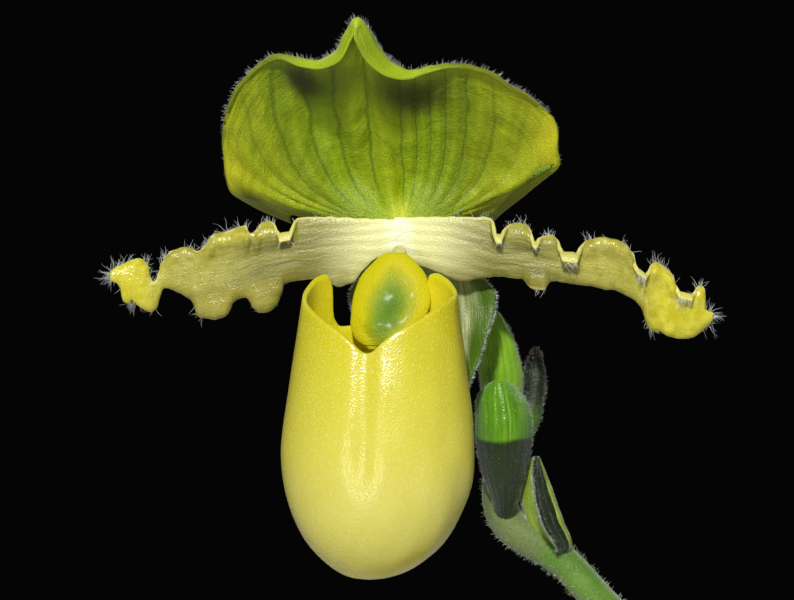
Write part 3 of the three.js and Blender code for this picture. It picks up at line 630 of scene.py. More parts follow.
def clay_finish():
    """Pot: fired clay with fine grain, turning marks and pale mineral bloom"""
    f = Finish("clay")
    height = f.node("SeparateXYZ", {0: f.place}).outputs[2]
    grain = f.noise(3.0, 5, roughness=0.7)
    bloom = f.smooth(f.noise(0.09, 6, roughness=0.65), 0.52, 0.74)
    low = f.rest(f.smooth(height, 4.0, 60.0))
    color = f.layered(
        f.mix(f.patches(0.05, 0.35, 0.7, 5), (178, 96, 58), (200, 122, 80)),
        (f.smooth(grain, 0.5, 0.75), 0.4, (150, 76, 44)),
        (f.times(bloom, f.plus(0.45, f.times(low, 0.8))), 0.32, (222, 204, 186)),
    )
    turning = f.noise(1.0, 2, f.node("CombineXYZ", {2: f.times(height, 0.9)}).outputs[0])
    return f.done(color, f.relief(turning, 0.25, f.relief(grain, 0.22)), 0.86, specular_ior_level=0.25)


def bark_finish():
    """Bark chips: brown to rust, each chip its own tone, with fibres and pale worn edges"""
    f = Finish("bark")
    fibre = f.noise(0.8, 6, roughness=0.7)
    color = f.layered(
        f.ramp(f.shade("tone"), [(0.0, (62, 40, 26)), (0.35, (96, 62, 38)), (0.7, (132, 84, 50)),
                                 (1.0, (164, 116, 76))]),
        (f.smooth(fibre, 0.45, 0.7), 0.6, (50, 32, 22)),
        (f.patches(1.8, 0.6, 0.75, 4), 0.35, (186, 146, 104)),
    )
    return f.done(color, f.relief(fibre, 0.6, f.relief(f.noise(4.0, 4), 0.15)), 0.85, specular_ior_level=0.3)


def hair_finish(name, color):
    f = Finish(name)
    tone = f.mix(f.patches(0.4, 0.3, 0.7, 2), color, (255, 255, 252))
    return f.done(tone, None, 0.4, specular_ior_level=0.6, subsurface_weight=0.2, subsurface_scale=0.0003)


# Dorsal sepal

# Each row is a place where the hood folds, then how far its rolled margin goes on from there
DORSAL_ROWS = [
    [-12.1, 4.2, 1.9, 0, 1.0, -0.9], [-14.7, 4.0, 3.2, 0, 1.2, -1.1], [-16.9, 3.2, 3.9, 0.1, 1.3, -0.7],
    [-18.4, 1.8, 4.6, -0.1, 1.0, -0.2], [-18.9, 0.7, 5.9, -0.1, 0.8, -0.1], [-19.1, -0.3, 8.1, 0, 0.6, 0],
    [-19.3, -1.6, 10.3, 0.1, 0.3, 0], [-18.9, -3.0, 12.5, 0.1, -0.1, 0],
    [-17.9, -4.2, 15.0, 0.15, -0.2, -0.05], [-16.5, -5.0, 16.8, 0.15, -0.3, -0.1],
    [-14.9, -5.6, 18.2, 0.1, -0.4, -0.15], [-13.2, -6.0, 18.9, 0.1, -0.6, -0.3],
    [-10.9, -6.6, 18.4, 0, -0.9, -0.65], [-8.6, -8.0, 18.2, 0.1, -1.1, -0.8],
    [-6.8, -9.8, 19.1, 0.4, -1.1, -0.9], [-5.7, -11.4, 21.1, 0.5, -1.0, -0.8],
    [-4.6, -12.4, 22.5, -0.1, -0.7, -1.1], [-3.6, -11.6, 21.4, -1.3, -1.0, -1.1],
    [-2.3, -9.6, 19.3, -1.5, -1.2, -1.0], [-0.7, -8.0, 17.8, -1.0, -1.3, -1.15],
    [1.3, -7.0, 17.1, -0.5, -1.1, -0.8], [3.0, -6.6, 17.5, -0.2, -0.8, -0.5],
    [5.1, -6.4, 17.9, 0, -0.6, -0.3], [7.4, -6.0, 17.8, -0.1, -0.5, -0.22],
    [9.6, -5.4, 17.1, -0.1, -0.4, -0.18], [11.6, -4.6, 15.9, -0.1, -0.35, -0.15],
    [14.1, -3.4, 14.5, -0.1, -0.3, -0.1], [16.2, -2.2, 12.7, -0.1, 0, 0], [17.0, -1.4, 11.2, 0, 0.2, 0],
    [17.1, -0.6, 9.2, 0.1, 0.4, 0], [17.3, 0.2, 7.4, 0.2, 0.3, -0.2], [15.8, 0.9, 7.15, 0.5, 1.0, -1.1],
    [14.3, 1.8, 6.5, 0.9, 1.2, -1.3], [13.0, 2.7, 5.5, 1.0, 1.3, -1.3], [11.8, 3.5, 4.2, 0.9, 1.3, -1.0],
    [10.7, 4.2, 2.9, 0.6, 1.2, -0.8], [9.8, 4.6, 1.8, 0.6, 1.1, -0.6],
]
DORSAL_BASE = np.array([[-4.2, 1.8, 0.5], [4.0, 1.8, 0.5]])
DORSAL_HOLLOW = [[0, 0.3], [0.15, 1.6], [0.45, 4.2], [0.8, 2.4], [1, 0.3]]
DORSAL_VEINS = [[-24, -7], [-20, -6], [-16.8, -5], [-13.4, -4], [-9.8, -3], [-6.5, -2], [-3.0, -1], [0.7, 0],
                [2.4, 1], [4.1, 2], [5.8, 3], [8.2, 4], [11.2, 5], [14.8, 6], [20, 7]]
DORSAL_KNOTS = (0.3, 0.6, 0.86)
DORSAL_ROOT_HEIGHT = 0.3
DORSAL_MARGIN_HAIRS = 760
DORSAL_BACK_HAIRS = 3800


def dorsal_grid(along, across):
    """Points of the hood, u from its foot to the end of its margin, v from left to right, and its fold"""
    rows = np.array(DORSAL_ROWS)
    edge = np.linspace(0, 1, across)
    t = even(rows[:, :3], edge)
    fold, roll = spline(rows[:, :3], t), spline(rows[:, 3:], t)
    base = DORSAL_BASE[0] + edge[:, None] * (DORSAL_BASE[1] - DORSAL_BASE[0])
    hollow = through(DORSAL_HOLLOW, edge)
    u = np.sin(np.linspace(0, 1, along) * math.pi / 2) ** 1.1
    columns = []
    for j in range(across):
        knots = [base[j] + share * (fold[j] - base[j]) + [0, hollow[j] * math.sin(math.pi * share ** 0.8), 0]
                 for share in DORSAL_KNOTS]
        columns.append(spline([base[j], *knots, fold[j], fold[j] + roll[j]], u))
    return np.stack(columns, 1), u[:, None], (2 * edge - 1)[None], fold


# The share of the way to the margin's end where the hood folds
DORSAL_FOLD = 0.8

# Painted shade: dark olive under the rolled margin, where its shadow falls, and on the reflexed lower
# margins: [x, z, reach along, reach down, tilt in degrees, depth]
DORSAL_PAINTED_SHADE = [
    [-10.4, 16.4, 3.0, 1.6, -28, 0.96], [-6.6, 16.6, 2.2, 2.0, 0, 0.5], [-1.6, 16.2, 1.8, 1.9, -30, 0.6],
    [0.8, 14.8, 3.0, 1.8, 0, 0.92], [3.6, 15.2, 2.4, 1.6, 25, 0.6],
    [13.4, 4.2, 4.2, 0.8, 50, 0.75], [-16.2, 3.8, 2.4, 0.6, -35, 0.7],
]


def painted_shade_on_hood(grid):
    """How much painted shade darkens each spot of the hood"""
    deep = np.zeros(grid.shape[:2])
    for x, z, along, down, tilt, depth in DORSAL_PAINTED_SHADE:
        c, s = math.cos(math.radians(tilt)), math.sin(math.radians(tilt))
        dx, dz = grid[..., 0] - x, grid[..., 2] - z
        apart = ((dx * c + dz * s) / along) ** 2 + ((dz * c - dx * s) / down) ** 2
        deep = 1 - (1 - deep) * (1 - depth * np.exp(-apart ** 1.5))
    return deep


def dorsal_relief(grid, u, rise, vein, front):
    """How far veins, midrib and gentle unevenness move the hood along its normals"""
    x, z = grid[..., 0], grid[..., 2]
    veins = 0.10 * np.cos(2 * math.pi * vein) * soft_step(u, 0.1, 0.3)
    uneven = 0.18 * waves(x, z, 5.0, 3) + 0.08 * waves(x, z, 1.6, 4)
    midrib = np.exp(-(((x + 0.19 * rise) / 0.55) ** 2)) * soft_step(rise, 4, 9)
    inside = np.sin(math.pi * np.clip(u, 0, 1) ** 0.8)
    return (veins + uneven) * inside + 0.35 * front * midrib * (1 - soft_step(u, 0.7, 0.8))


def add_dorsal(finish, hair):
    """The hood and its hairs"""
    grid, u, v, fold = dorsal_grid(120, 270)
    along_fold = length_along(fold)
    apex = 2 * along_fold[np.argmax(fold[:, 2])] / along_fold[-1] - 1
    rise = np.maximum(grid[..., 2] - DORSAL_ROOT_HEIGHT, 0.05)
    vein = through(DORSAL_VEINS, grid[..., 0] / (1 - np.exp(-rise / 3.7)) + 0.05 * rise)
    normals = grid_normals(grid)
    grid = grid + normals * dorsal_relief(grid, u, rise, vein, -facing(normals, 1))[..., None]
    x, z = grid[..., 0], grid[..., 2]
    gold = np.exp(-((x - 16.6) ** 2 + ((z - 10.2) / 1.5) ** 2) / 2.2)
    gold = gold + 0.6 * np.exp(-((x + 18.6) ** 2 + ((z - 6.2) / 1.6) ** 2) / 1.6)
    shades = {
        # the deep layer is painted shade under the rolled margin and on the reflexed lower margins
        "vein": vein, "u": u, "gold": gold, "deep": painted_shade_on_hood(grid),
        "far": np.clip(np.abs(v - apex * 0.8) * (0.5 + 0.9 * u ** 1.3), 0, 1),
        "lime": soft_step(fold[:, 0], -14.5, -9) * (1 - soft_step(fold[:, 0], 1.5, 6.5)),
        "foot": np.exp(-((x / 0.9) ** 2)) * (1 - soft_step(rise, 1.4, 4.4)),
    }
    half = 0.34 * fading(u, 30) * fading(v, 40) * (1 - 0.35 * u ** 3)
    add_blade("dorsal_sepal_blade", in_flower(grid), half, finish, "sepal", "dorsal_sepal", shades,
              ("rear", True))
    add_dorsal_hairs(grid, normals, u[:, 0], hair)


def add_dorsal_hairs(grid, normals, u, hair):
    """Fine white hairs all along the hood's outline, and short ones over its back"""
    random = np.random.default_rng(21)
    rows, columns = grid.shape[:2]
    outward = normals * np.sign(np.mean(normals[rows // 2, :, 1]))
    fold = np.argmin(np.abs(u - DORSAL_FOLD))
    i = fold + random.integers(-3, 3, DORSAL_MARGIN_HAIRS)
    j = random.integers(1, columns - 1, len(i))
    away = unit((grid[i, j] - grid.reshape(-1, 3).mean(0)) * [1, 0, 1])
    aim = away + outward[i, j] * 0.3 + random.normal(0, 0.35, (len(i), 3))
    root = grid[i, j] + outward[i, j] * 0.2
    add_hairs("dorsal_margin_hairs", in_flower(root), aim, random.uniform(0.3, 0.85, len(i)), hair, "sepal",
              radius=0.012, curl=0.06, steps=3, seed=23)
    i = random.integers(5, fold - 4, DORSAL_BACK_HAIRS)
    j = random.integers(1, columns - 1, len(i))
    root = grid[i, j] + outward[i, j] * 0.28
    along = unit(grid[i + 1, j] - grid[i - 1, j])
    aim = outward[i, j] + along * 0.5 + random.normal(0, 0.3, (len(i), 3))
    add_hairs("dorsal_sepal_hairs", in_flower(root), aim, random.uniform(0.25, 0.5, len(i)), hair, "sepal",
              radius=0.012, curl=0.1, steps=2, seed=22)


# Petals

# Rows are [distance along, then the point] in a midline, [distance, reach, curl forward or back] in a margin,
# and [distance, share of hairs] for its hairs
PETALS = {
    "right": {
        "midline": [
            [0.2, 0.2, 0, -0.7], [4.4, 4.4, -1.0, -1.4], [11, 11, -2.0, -2.4], [17.6, 17.6, -2.6, -3.5],
            [23.1, 23.1, -2.6, -4.4], [27.5, 27.5, -2.2, -6.6], [30.8, 30.8, -1.6, -8.8],
            [34.4, 34.4, -0.9, -9.3],
        ],
        "upper": [
            [0.2, 2.3, 0], [4.4, 3.05, 0], [7.7, 3.5, 0], [9.8, 3.75, 0.1], [10.15, 3.4, -0.3],
            [10.3, 2.1, -1.4], [10.5, 1.85, -1.6], [11.0, 1.85, -1.6], [11.3, 2.3, -1.2],
            [11.6, 3.0, -0.3], [12.2, 3.45, 0.3], [13.2, 3.6, 0.5], [14.0, 3.5, 0.3], [14.3, 2.9, -0.4],
            [14.45, 1.85, -1.4], [14.7, 1.7, -1.5], [15.0, 1.75, -1.4], [15.3, 2.3, -0.7],
            [15.8, 2.75, 0.2], [16.6, 2.85, 0.4], [17.2, 2.6, 0.1], [17.45, 1.6, -1.2], [17.7, 1.1, -1.9],
            [19.2, 1.05, -1.9], [19.6, 1.7, -1.2], [20.0, 2.5, -0.1], [20.8, 3.1, 0.5], [22, 3.35, 0.9],
            [23.3, 3.5, 0.9], [24.6, 3.5, 0.7], [25.4, 3.1, 0.2], [25.6, 1.9, -0.9], [25.9, 1.4, -1.4],
            [26.8, 1.3, -1.4], [27.15, 1.9, -0.9], [27.5, 3.0, 0.1], [28.1, 3.6, 0.6], [29.0, 3.8, 0.7],
            [29.8, 3.6, 0.3], [30.1, 2.6, -0.7], [30.5, 2.0, -1.4], [31.9, 1.9, -1.4], [32.3, 2.5, -0.5],
            [32.7, 3.1, 0.2], [33.2, 3.1, 0.2], [33.4, 1.2, 0.1], [33.7, 0.6, 0], [34.4, 0.45, 0],
        ],
        "lower": [
            [0.2, 2.2, 0.3], [4.4, 3.1, 0.6], [6.6, 3.5, 0.9], [8.8, 3.0, 0.7], [11, 2.5, 0.5],
            [13.3, 2.4, 0.4], [14, 3.0, 0.2], [14.5, 3.3, 0], [15.7, 3.25, 0], [16.5, 2.1, 0.4],
            [17.6, 1.95, 0.6], [22, 1.95, 0.7], [23.9, 1.75, 0.8], [25.9, 1.9, 0.8], [26.7, 2.4, 0.7],
            [27.2, 3.8, 0.7], [27.8, 4.0, 0.8], [28.7, 3.3, 1.0], [29.7, 3.0, 1.1], [30.7, 2.8, 1.2],
            [32, 2.4, 1.1], [33.5, 1.2, 0.8], [34.4, 0.3, 0.3],
        ],
        "upper_hair": [[0.2, 0], [10, 0.3], [13, 0.8], [20, 1], [34.4, 1.3]],
        "lower_hair": [[0.2, 0], [14.2, 0], [14.7, 0.25], [15.7, 0.25], [16.3, 0], [26.6, 0], [27.2, 1.3],
                       [34.4, 1.3]],
    },
    "left": {
        "midline": [
            [0.2, -0.2, 0, -0.7], [4.4, -4.4, 0.1, -1.5], [11, -11, 0.2, -2.1], [16.5, -16.5, 0.7, -3.3],
            [22, -22, 1.2, -4.4], [25.9, -25.9, 1.5, -5.3], [27.5, -27.5, 1.5, -6.2],
            [29.7, -29.7, 1.3, -5.7], [32, -32, 1.0, -4.7],
        ],
        "upper": [
            [0.2, 2.1, 0], [4.4, 3.0, 0], [8.8, 3.55, 0], [11.2, 3.65, 0.1], [11.6, 3.3, -0.4],
            [11.8, 2.5, -1.2], [12.1, 2.1, -1.5], [13.2, 2.1, -1.5], [13.5, 2.6, -1.0], [13.8, 3.5, -0.1],
            [14.4, 4.0, 0.4], [15.2, 3.95, 0.5], [15.7, 3.6, 0.1], [16.0, 3.1, -0.8], [16.5, 3.0, -1.0],
            [16.8, 3.5, -0.6], [17.1, 4.2, 0.2], [17.8, 4.1, 0.5], [18.7, 3.95, 0.7], [20.3, 3.8, 0.7],
            [21.1, 3.3, 0.2], [21.7, 2.6, -0.3], [22.3, 2.4, -0.2], [23.0, 2.75, 0.6], [24.0, 2.95, 1.0],
            [25.0, 2.85, 0.9], [25.9, 2.4, 0.6], [26.5, 1.8, 0.3], [26.7, 0.9, -0.1], [27.1, 0.55, -0.2],
            [27.5, 0.9, 0], [27.7, 1.9, 0.3], [28.2, 2.7, 0.7], [28.8, 2.85, 0.9], [29.5, 2.55, 0.8],
            [30.2, 2.1, 0.6], [31, 1.4, 0.5], [31.6, 0.75, 0.3], [32, 0.15, 0.1],
        ],
        "lower": [
            [0.2, 1.9, 0.2], [2.4, 1.7, 0.2], [4, 2.75, 0.3], [5.3, 4.0, 0.5], [6.8, 4.2, 0.8],
            [8.2, 3.4, 0.7], [10.2, 3.2, 0.5], [11.9, 3.2, 0.5], [12.8, 3.35, 0.6], [13.2, 4.4, 0.7],
            [13.6, 5.15, 0.8], [14.8, 5.75, 1.0], [15.5, 5.7, 0.9], [15.9, 5.3, 0.8], [16.4, 4.4, 0.9],
            [16.9, 3.8, 1.0], [18, 3.6, 1.0], [18.5, 3.9, 0.9], [18.9, 4.8, 0.8], [19.4, 5.25, 0.9],
            [20.4, 5.3, 1.0], [21.5, 5.05, 0.9], [22.2, 4.8, 0.8], [22.6, 3.7, 0.8], [23.2, 2.6, 0.9],
            [24.2, 1.75, 0.9], [25.3, 1.1, 0.6], [26.3, 0.75, 0.3], [26.7, 1.6, 0.4], [27, 2.4, 0.6],
            [27.7, 2.4, 0.8], [28.4, 2.3, 0.7], [29, 2.05, 0.5], [29.6, 1.75, 0.5], [30, 2.2, 0.7],
            [30.4, 2.2, 0.7], [30.7, 1.0, 0.4], [31.2, 0.5, 0.3], [31.7, 0.55, 0.2], [32, 0.35, 0.1],
        ],
        "upper_hair": [[0.2, 0], [11, 0.15], [14, 0.8], [20, 1], [24, 1.2], [26.5, 2], [27.5, 2.2],
                       [28, 1.2], [32, 1.2]],
        "lower_hair": [[0.2, 0], [12.6, 0], [13.3, 0.8], [16, 0.9], [17, 0.3], [18, 0.3], [19, 1], [22.4, 1],
                       [23.2, 0.15], [26.3, 0.15], [27, 0.8], [32, 1.2]],
    },
}
PETAL_OVERLAP = 0.9
PETAL_TIP_HAIRS = 26


def petal_grid(petal, along, across, seed):
    """Points of a petal, distance along it, place across it, height over its midline, and how far it curls"""
    rows = petal["midline"]
    distance = np.linspace(rows[0][0] - PETAL_OVERLAP, rows[-1][0], along)
    v = blade_lines(1, across)[1][0]
    middle = place_through(rows, distance)
    middle[:, 0] += np.minimum(distance - rows[0][0], 0) * np.sign(rows[1][1])
    grid = middle[:, None] + np.zeros((1, across, 1))
    flap = np.zeros((along, across))
    for key, sign, height in (("upper", 1, 0.95), ("lower", -1, 0.25)):
        side = v * sign > 0
        part = np.abs(v[side])[None]
        uneven = 0.05 * waves(distance, 0 * distance, 1.1, seed + sign)
        reach = (through(petal[key], distance) + uneven)[:, None]
        curl = through(petal[key], distance, 2)[:, None]
        roll = 0.6 + 1.25 * np.abs(curl)
        rise = np.sin(roll * part) / np.where(roll > math.pi / 2, 1, np.sin(roll))
        puff = soft_step(reach, 2.0, 3.8) * np.sin(math.pi * part ** 1.4) ** 2
        puff = puff * soft_step(distance, 10, 16)[:, None]
        grid[:, side, 2] += sign * reach * rise
        grid[:, side, 1] += curl * (1 - np.cos(roll * part)) / (1 - np.cos(roll)) - height * puff
        flap[:, side] = soft_step(-curl, 0.5, 1.2) * soft_step(roll * part, 1.2, 1.7)
    return grid, distance[:, None], v[None], grid[..., 2] - middle[:, None, 2], flap


def add_petal(name, finish, hair, seed):
    """A petal, left or right, with fine ribs along it, uneven lobes and hairs"""
    grid, distance, v, across, flap = petal_grid(PETALS[name], 460, 48, seed)
    share = (distance - distance[0]) / (distance[-1] - distance[0])
    lanes = across + 0.5 * waves(distance, across, 9, seed + 5)
    ribs = 0.035 * np.cos(lanes * 2 * math.pi / 1.1) * (1 - v ** 4) * (1 - soft_step(share, 0.55, 0.85))
    ripple = 0.09 * waves(grid[..., 0], grid[..., 2], 2.2, seed + 7) * soft_step(np.abs(across), 1.0, 2.6)
    grid = grid + grid_normals(grid) * (ribs + ripple * soft_step(distance, 8, 16))[..., None]
    half = 0.3 * fading(v, 12) * fading(2 * share - 1, 60) * (1 - 0.3 * np.abs(v) ** 2)
    shades = {"out": distance, "across": across, "curled": flap, "edge": np.abs(v)}
    add_blade(f"petal_{name}_blade", in_flower(grid), half, finish, "petal", f"petal_{name}", shades)
    add_petal_hairs(name, grid, distance[:, 0], hair, seed)


def add_petal_hairs(name, grid, distance, hair, seed):
    """Long fine white hairs on a petal's margins, thickest towards its tip"""
    random = np.random.default_rng(seed + 40)
    rows, columns = grid.shape[:2]
    roots, aims, lengths = [], [], []
    for key, edge, inner, count in (("upper_hair", columns - 1, columns - 5, 270), ("lower_hair", 0, 4, 130)):
        chance = through(PETALS[name][key], distance) * (0.6 + 0.4 * np.sin(distance * 2.6 + edge))
        k = random.choice(np.arange(2, rows - 1), count, p=chance[2:-1] / chance[2:-1].sum())
        out = unit(grid[k, edge] - grid[k, inner])
        aims.append(out * [1, 0.4, 1] + random.normal(0, 0.5, (count, 3)) - [0, 0.2, 0])
        roots.append(grid[k, edge])
        long = np.where(random.random(count) < 0.2, 1.5, 1)
        later = 0.65 + 0.45 * soft_step(distance[k], 8, 26)
        lengths.append(random.uniform(0.5, 1.35, count) * later * long)
    count = PETAL_TIP_HAIRS
    k = rows - 1 - random.integers(0, 6, count)
    j = random.integers(0, columns, count)
    roots.append(grid[k, j])
    aims.append(unit(grid[-1, j] - grid[-12, j]) + random.normal(0, 0.6, (count, 3)))
    lengths.append(random.uniform(0.8, 2.1, count))
    roots, aims, lengths = (np.concatenate(some) for some in (roots, aims, lengths))
    add_hairs(f"petal_{name}_hairs", in_flower(roots), aims, lengths, hair, "petal",
              radius=0.017, curl=0.05, steps=6, seed=seed + 41, droop=0.04)


# Pouch

# The axis has rows of [height, x, y], and the rim has rows of [bearing in degrees, height]
POUCH = {
    "bottom": -37.4, "widest": -23.8, "half_width": 10.45, "depth_ratio": 0.78,
    "axis": [[-37.4, -0.9, -12.4], [-34, -0.35, -12.2], [-24, -0.15, -11.7], [-14, -0.1, -11.2],
             [-6, -0.15, -10.3]],
    "rim": [
        [-180, -5.7], [-168, -5.7], [-160, -10.2], [-142, -10.6], [-134, -9.4], [-129, -6.0],
        [-122, -4.9], [-110, -5.2], [-95, -6.1], [-75, -7.4], [-56, -8.5], [-42, -9.4], [-30, -10.3],
        [-20, -11.1], [-10, -12.2], [0, -13.3], [10, -12.2], [20, -11.1], [30, -10.3], [42, -9.4],
        [56, -8.4], [75, -7.5], [95, -6.9], [110, -6.2], [125, -5.3], [138, -4.8], [146, -5.0],
        [151, -8.5], [160, -10.2], [168, -5.7], [180, -5.7],
    ],
    "wall": 0.75, "tall": 32.6,
    "lip": (0.2, 0.5, 0.8),
}


def pouch_grid(turns, rise):
    """Points of the pouch's outer wall, from its bottom up to its rim"""
    turn, rise = np.meshgrid(turns, rise)
    bottom, widest, wide = POUCH["bottom"], POUCH["widest"], POUCH["half_width"]
    climb = 1 - np.cos(rise * math.pi / 2)
    height = bottom + (through(POUCH["rim"], turn) - bottom) * (climb + (rise - climb) * 0.12)
    above = height - widest
    half_width = np.where(above < 0, wide * fading(above / (bottom - widest), 2),
                          wide - 0.137 * (np.hypot(above, 2) - 2))
    angle = np.radians(turn)
    x = through(POUCH["axis"], height) + half_width * np.sin(angle)
    y = through(POUCH["axis"], height, 2) - half_width * POUCH["depth_ratio"] * np.cos(angle)
    groove = 0.42 * np.exp(-((turn / 6.5) ** 2)) * soft_step(height, -31, -24)
    return np.stack([x, y + groove, height], -1)


def add_pouch(finish):
    """The pouch: its outer wall up to a rounded lip and down again inside"""
    rise = np.linspace(0.03, 1, 84) ** 0.9
    outer = pouch_grid(np.linspace(-180, 180, 228, endpoint=False), rise)
    normals = grid_normals(outer, True)
    middle = len(rise) // 2
    normals = normals * np.sign(np.sum(normals[middle] * (outer[middle] - outer[middle].mean(0)), -1).mean())
    uneven = 0.07 * waves(outer[..., 0] + outer[..., 1], outer[..., 2], 5.5, 31)
    outer = outer + normals * uneven[..., None]
    inner = outer - normals * (POUCH["wall"] * (1 - 0.3 * rise[:, None, None] ** 8))
    share = np.array(POUCH["lip"])[:, None, None]
    bulge = unit(outer[-1] - outer[-3]) * (0.35 * POUCH["wall"] * np.sin(math.pi * share))
    rings = np.concatenate([outer, outer[-1] + (inner[-1] - outer[-1]) * share + bulge, inner[::-1]])
    low = pouch_grid(np.zeros(1), np.zeros(1))[0]
    points, faces = ringed(in_heart(rings), in_heart(low)[0], in_heart(low + [0, 0, POUCH["wall"]])[0])
    outside = np.repeat([1, 0], [len(outer) + len(share), len(inner)])[:, None]
    shades = {"height": on_rings((rings[..., 2] - POUCH["bottom"]) / POUCH["tall"], rings),
              "outside": on_rings(outside, rings, 1, 0)}
    add_piece("pouch_shell", points, faces, finish, "pouch", ["pouch"], shades)


# Staminode, column and synsepal

# Rows are [share of the length, then the point] in a line, and [share, half width] in a width
SHIELD_LINE = [[0, 0.3, -3.9, -2.4], [0.5, 0.2, -5.9, -7.7], [1, -0.9, -8.4, -13]]
SHIELD_WIDTH = [[0, 0.9], [0.1, 2.3], [0.28, 3.8], [0.5, 4.3], [0.7, 4.0], [0.86, 3.0], [1, 0.8]]


def strap_grid(line, half_width, v):
    """Points of a flat blade about a line, as wide along X as its half width"""
    grid = np.repeat(line, v.shape[1], axis=1)
    grid[..., 0] += half_width * v
    return grid


def add_shield(finish):
    """The staminode: a domed shield with a dimple in its middle and a knob below"""
    u, v = blade_lines(90, 60)
    grid = strap_grid(place_through(SHIELD_LINE, u), through(SHIELD_WIDTH, u), v)
    dome = (1 - v * v) * np.sin(math.pi * np.clip(u + 0.05, 0, 1)) ** 0.7
    dimple = 0.55 * np.exp(-(((v - 0.1) / 0.4) ** 2) - (((u - 0.5) / 0.2) ** 2))
    knob = 0.2 * np.exp(-(((v + 0.25) / 0.25) ** 2) - (((u - 0.75) / 0.09) ** 2))
    uneven = 0.03 * waves(grid[..., 0], grid[..., 2], 1.6, 51) * (1 - np.abs(v) ** 4)
    grid[..., 1] += dimple - knob + uneven - 1.3 * dome
    half = 0.45 * fading(v, 8) * fading(2 * u - 1, 24)
    add_blade("staminode_shield", in_heart(grid), half, finish, "shield", "staminode", {"u": u, "v": v})


SYNSEPAL_LINE = [[0, 1.6, 2.0, -2.2], [0.35, 2.3, 3.6, -10], [0.7, 3.0, 3.6, -18], [1, 3.5, 2.6, -25]]
SYNSEPAL_WIDTH = [[0, 2.6], [0.1, 6.2], [0.22, 8.2], [0.45, 6.6], [0.7, 4.0], [0.9, 1.9], [1, 0.6]]
SYNSEPAL_HAIRS = 900


def add_synsepal(finish, hair):
    """The synsepal, with fine folds along it and hairs on its two margins"""
    u, v = blade_lines(110, 70)
    across = through(SYNSEPAL_WIDTH, u) * v
    grid = strap_grid(place_through(SYNSEPAL_LINE, u), through(SYNSEPAL_WIDTH, u), v)
    folds = 0.09 * np.cos(across * 2 * math.pi / 1.7) * (1 - v ** 4) * soft_step(u, 0.05, 0.3)
    grid[..., 1] += folds - 2.2 * v * v * np.minimum(u / 0.4, 1) ** 2
    grid[..., 1] += 0.12 * waves(grid[..., 0], grid[..., 2], 4.0, 61)
    half = 0.36 * fading(v, 12) * fading(2 * u - 1, 40)
    shades = {"u": u, "across": across, "edge": np.abs(v)}
    add_blade("synsepal_blade", in_heart(grid), half, finish, "sepal", "synsepal", shades,
              ("inside", facing(grid_normals(grid), 1) < 0))
    random = np.random.default_rng(62)
    rows, columns = grid.shape[:2]
    count = SYNSEPAL_HAIRS
    i = random.integers(3, rows - 1, count)
    left = random.random(count) < 0.5
    j = np.where(left, 0, columns - 1)
    aim = np.where(left[:, None], [-1, 0.2, 0], [1, 0.2, 0]) + random.normal(0, 0.45, (count, 3))
    lengths = random.uniform(0.25, 0.6, count)
    add_hairs("synsepal_hairs", in_heart(grid[i, j]), turned(aim, FLOWER_YAW), lengths, hair, "sepal",
              radius=0.02, curl=0.12, steps=2, seed=63)


# Bracts, buds, ovary and stem

# The last three entries of each bract paint light and shade: painted shadow on its lower part, fading out
# between two shares of its length, then painted shade on the outside of its near half, then a share of
# painted light as brighter green
BRACTS = {
    "bract_lower": {
        "line": [[0, 18.6, 8.4, -36.3], [0.12, 19.2, 7.4, -35.0], [0.35, 18.2, 7.0, -32.3],
                 [0.68, 16.8, 6.9, -28.4], [1, 15.3, 7.3, -25.0]],
        "width": [[0, 1.6], [0.12, 2.9], [0.3, 3.9], [0.5, 3.8], [0.72, 2.9], [0.88, 1.6], [1, 0.2]],
        "far_arm": [-1, 0.25], "near_arm": [-0.6, -0.55], "painted_shade": [-1, -0.9], "near_painted_shade": 1, "painted_light": 0,
    },
    "bract_bud": {
        "line": [[0, 11.7, 7.4, -31.9], [0.1, 11.7, 5.2, -30.2], [0.3, 11.6, 3.6, -26.9],
                 [0.6, 11.6, 2.6, -21.8], [1, 11.0, 3.6, -16.5]],
        "width": [[0, 0.5], [0.06, 0.9], [0.15, 1.4], [0.36, 2.6], [0.56, 3.1], [0.8, 2.85], [0.91, 2.05],
                  [0.96, 1.3], [1, 0.3]],
        "far_arm": [-1, 1.1], "near_arm": [1, 1.1], "painted_shade": [0.5, 0.53], "near_painted_shade": 0, "painted_light": 0,
    },
    "bract_flower": {
        "line": [[0, 11.6, 9.1, -22.2], [0.2, 11.5, 7.9, -19.2], [0.42, 11.4, 7.4, -16.2],
                 [0.72, 10.9, 7.3, -12.2], [1, 10.4, 7.8, -8.7]],
        "width": [[0, 0.8], [0.2, 1.9], [0.42, 2.3], [0.6, 2.1], [0.75, 1.8], [0.87, 1.25], [0.95, 0.75],
                  [1, 0.25]],
        "far_arm": [-1, 0.75], "near_arm": [1, 0.75], "painted_shade": [-1, -0.9], "near_painted_shade": 0, "painted_light": 0.7,
    },
}


BRACT_FRINGE_HAIRS = 1100
BRACT_VELVET_HAIRS = 600


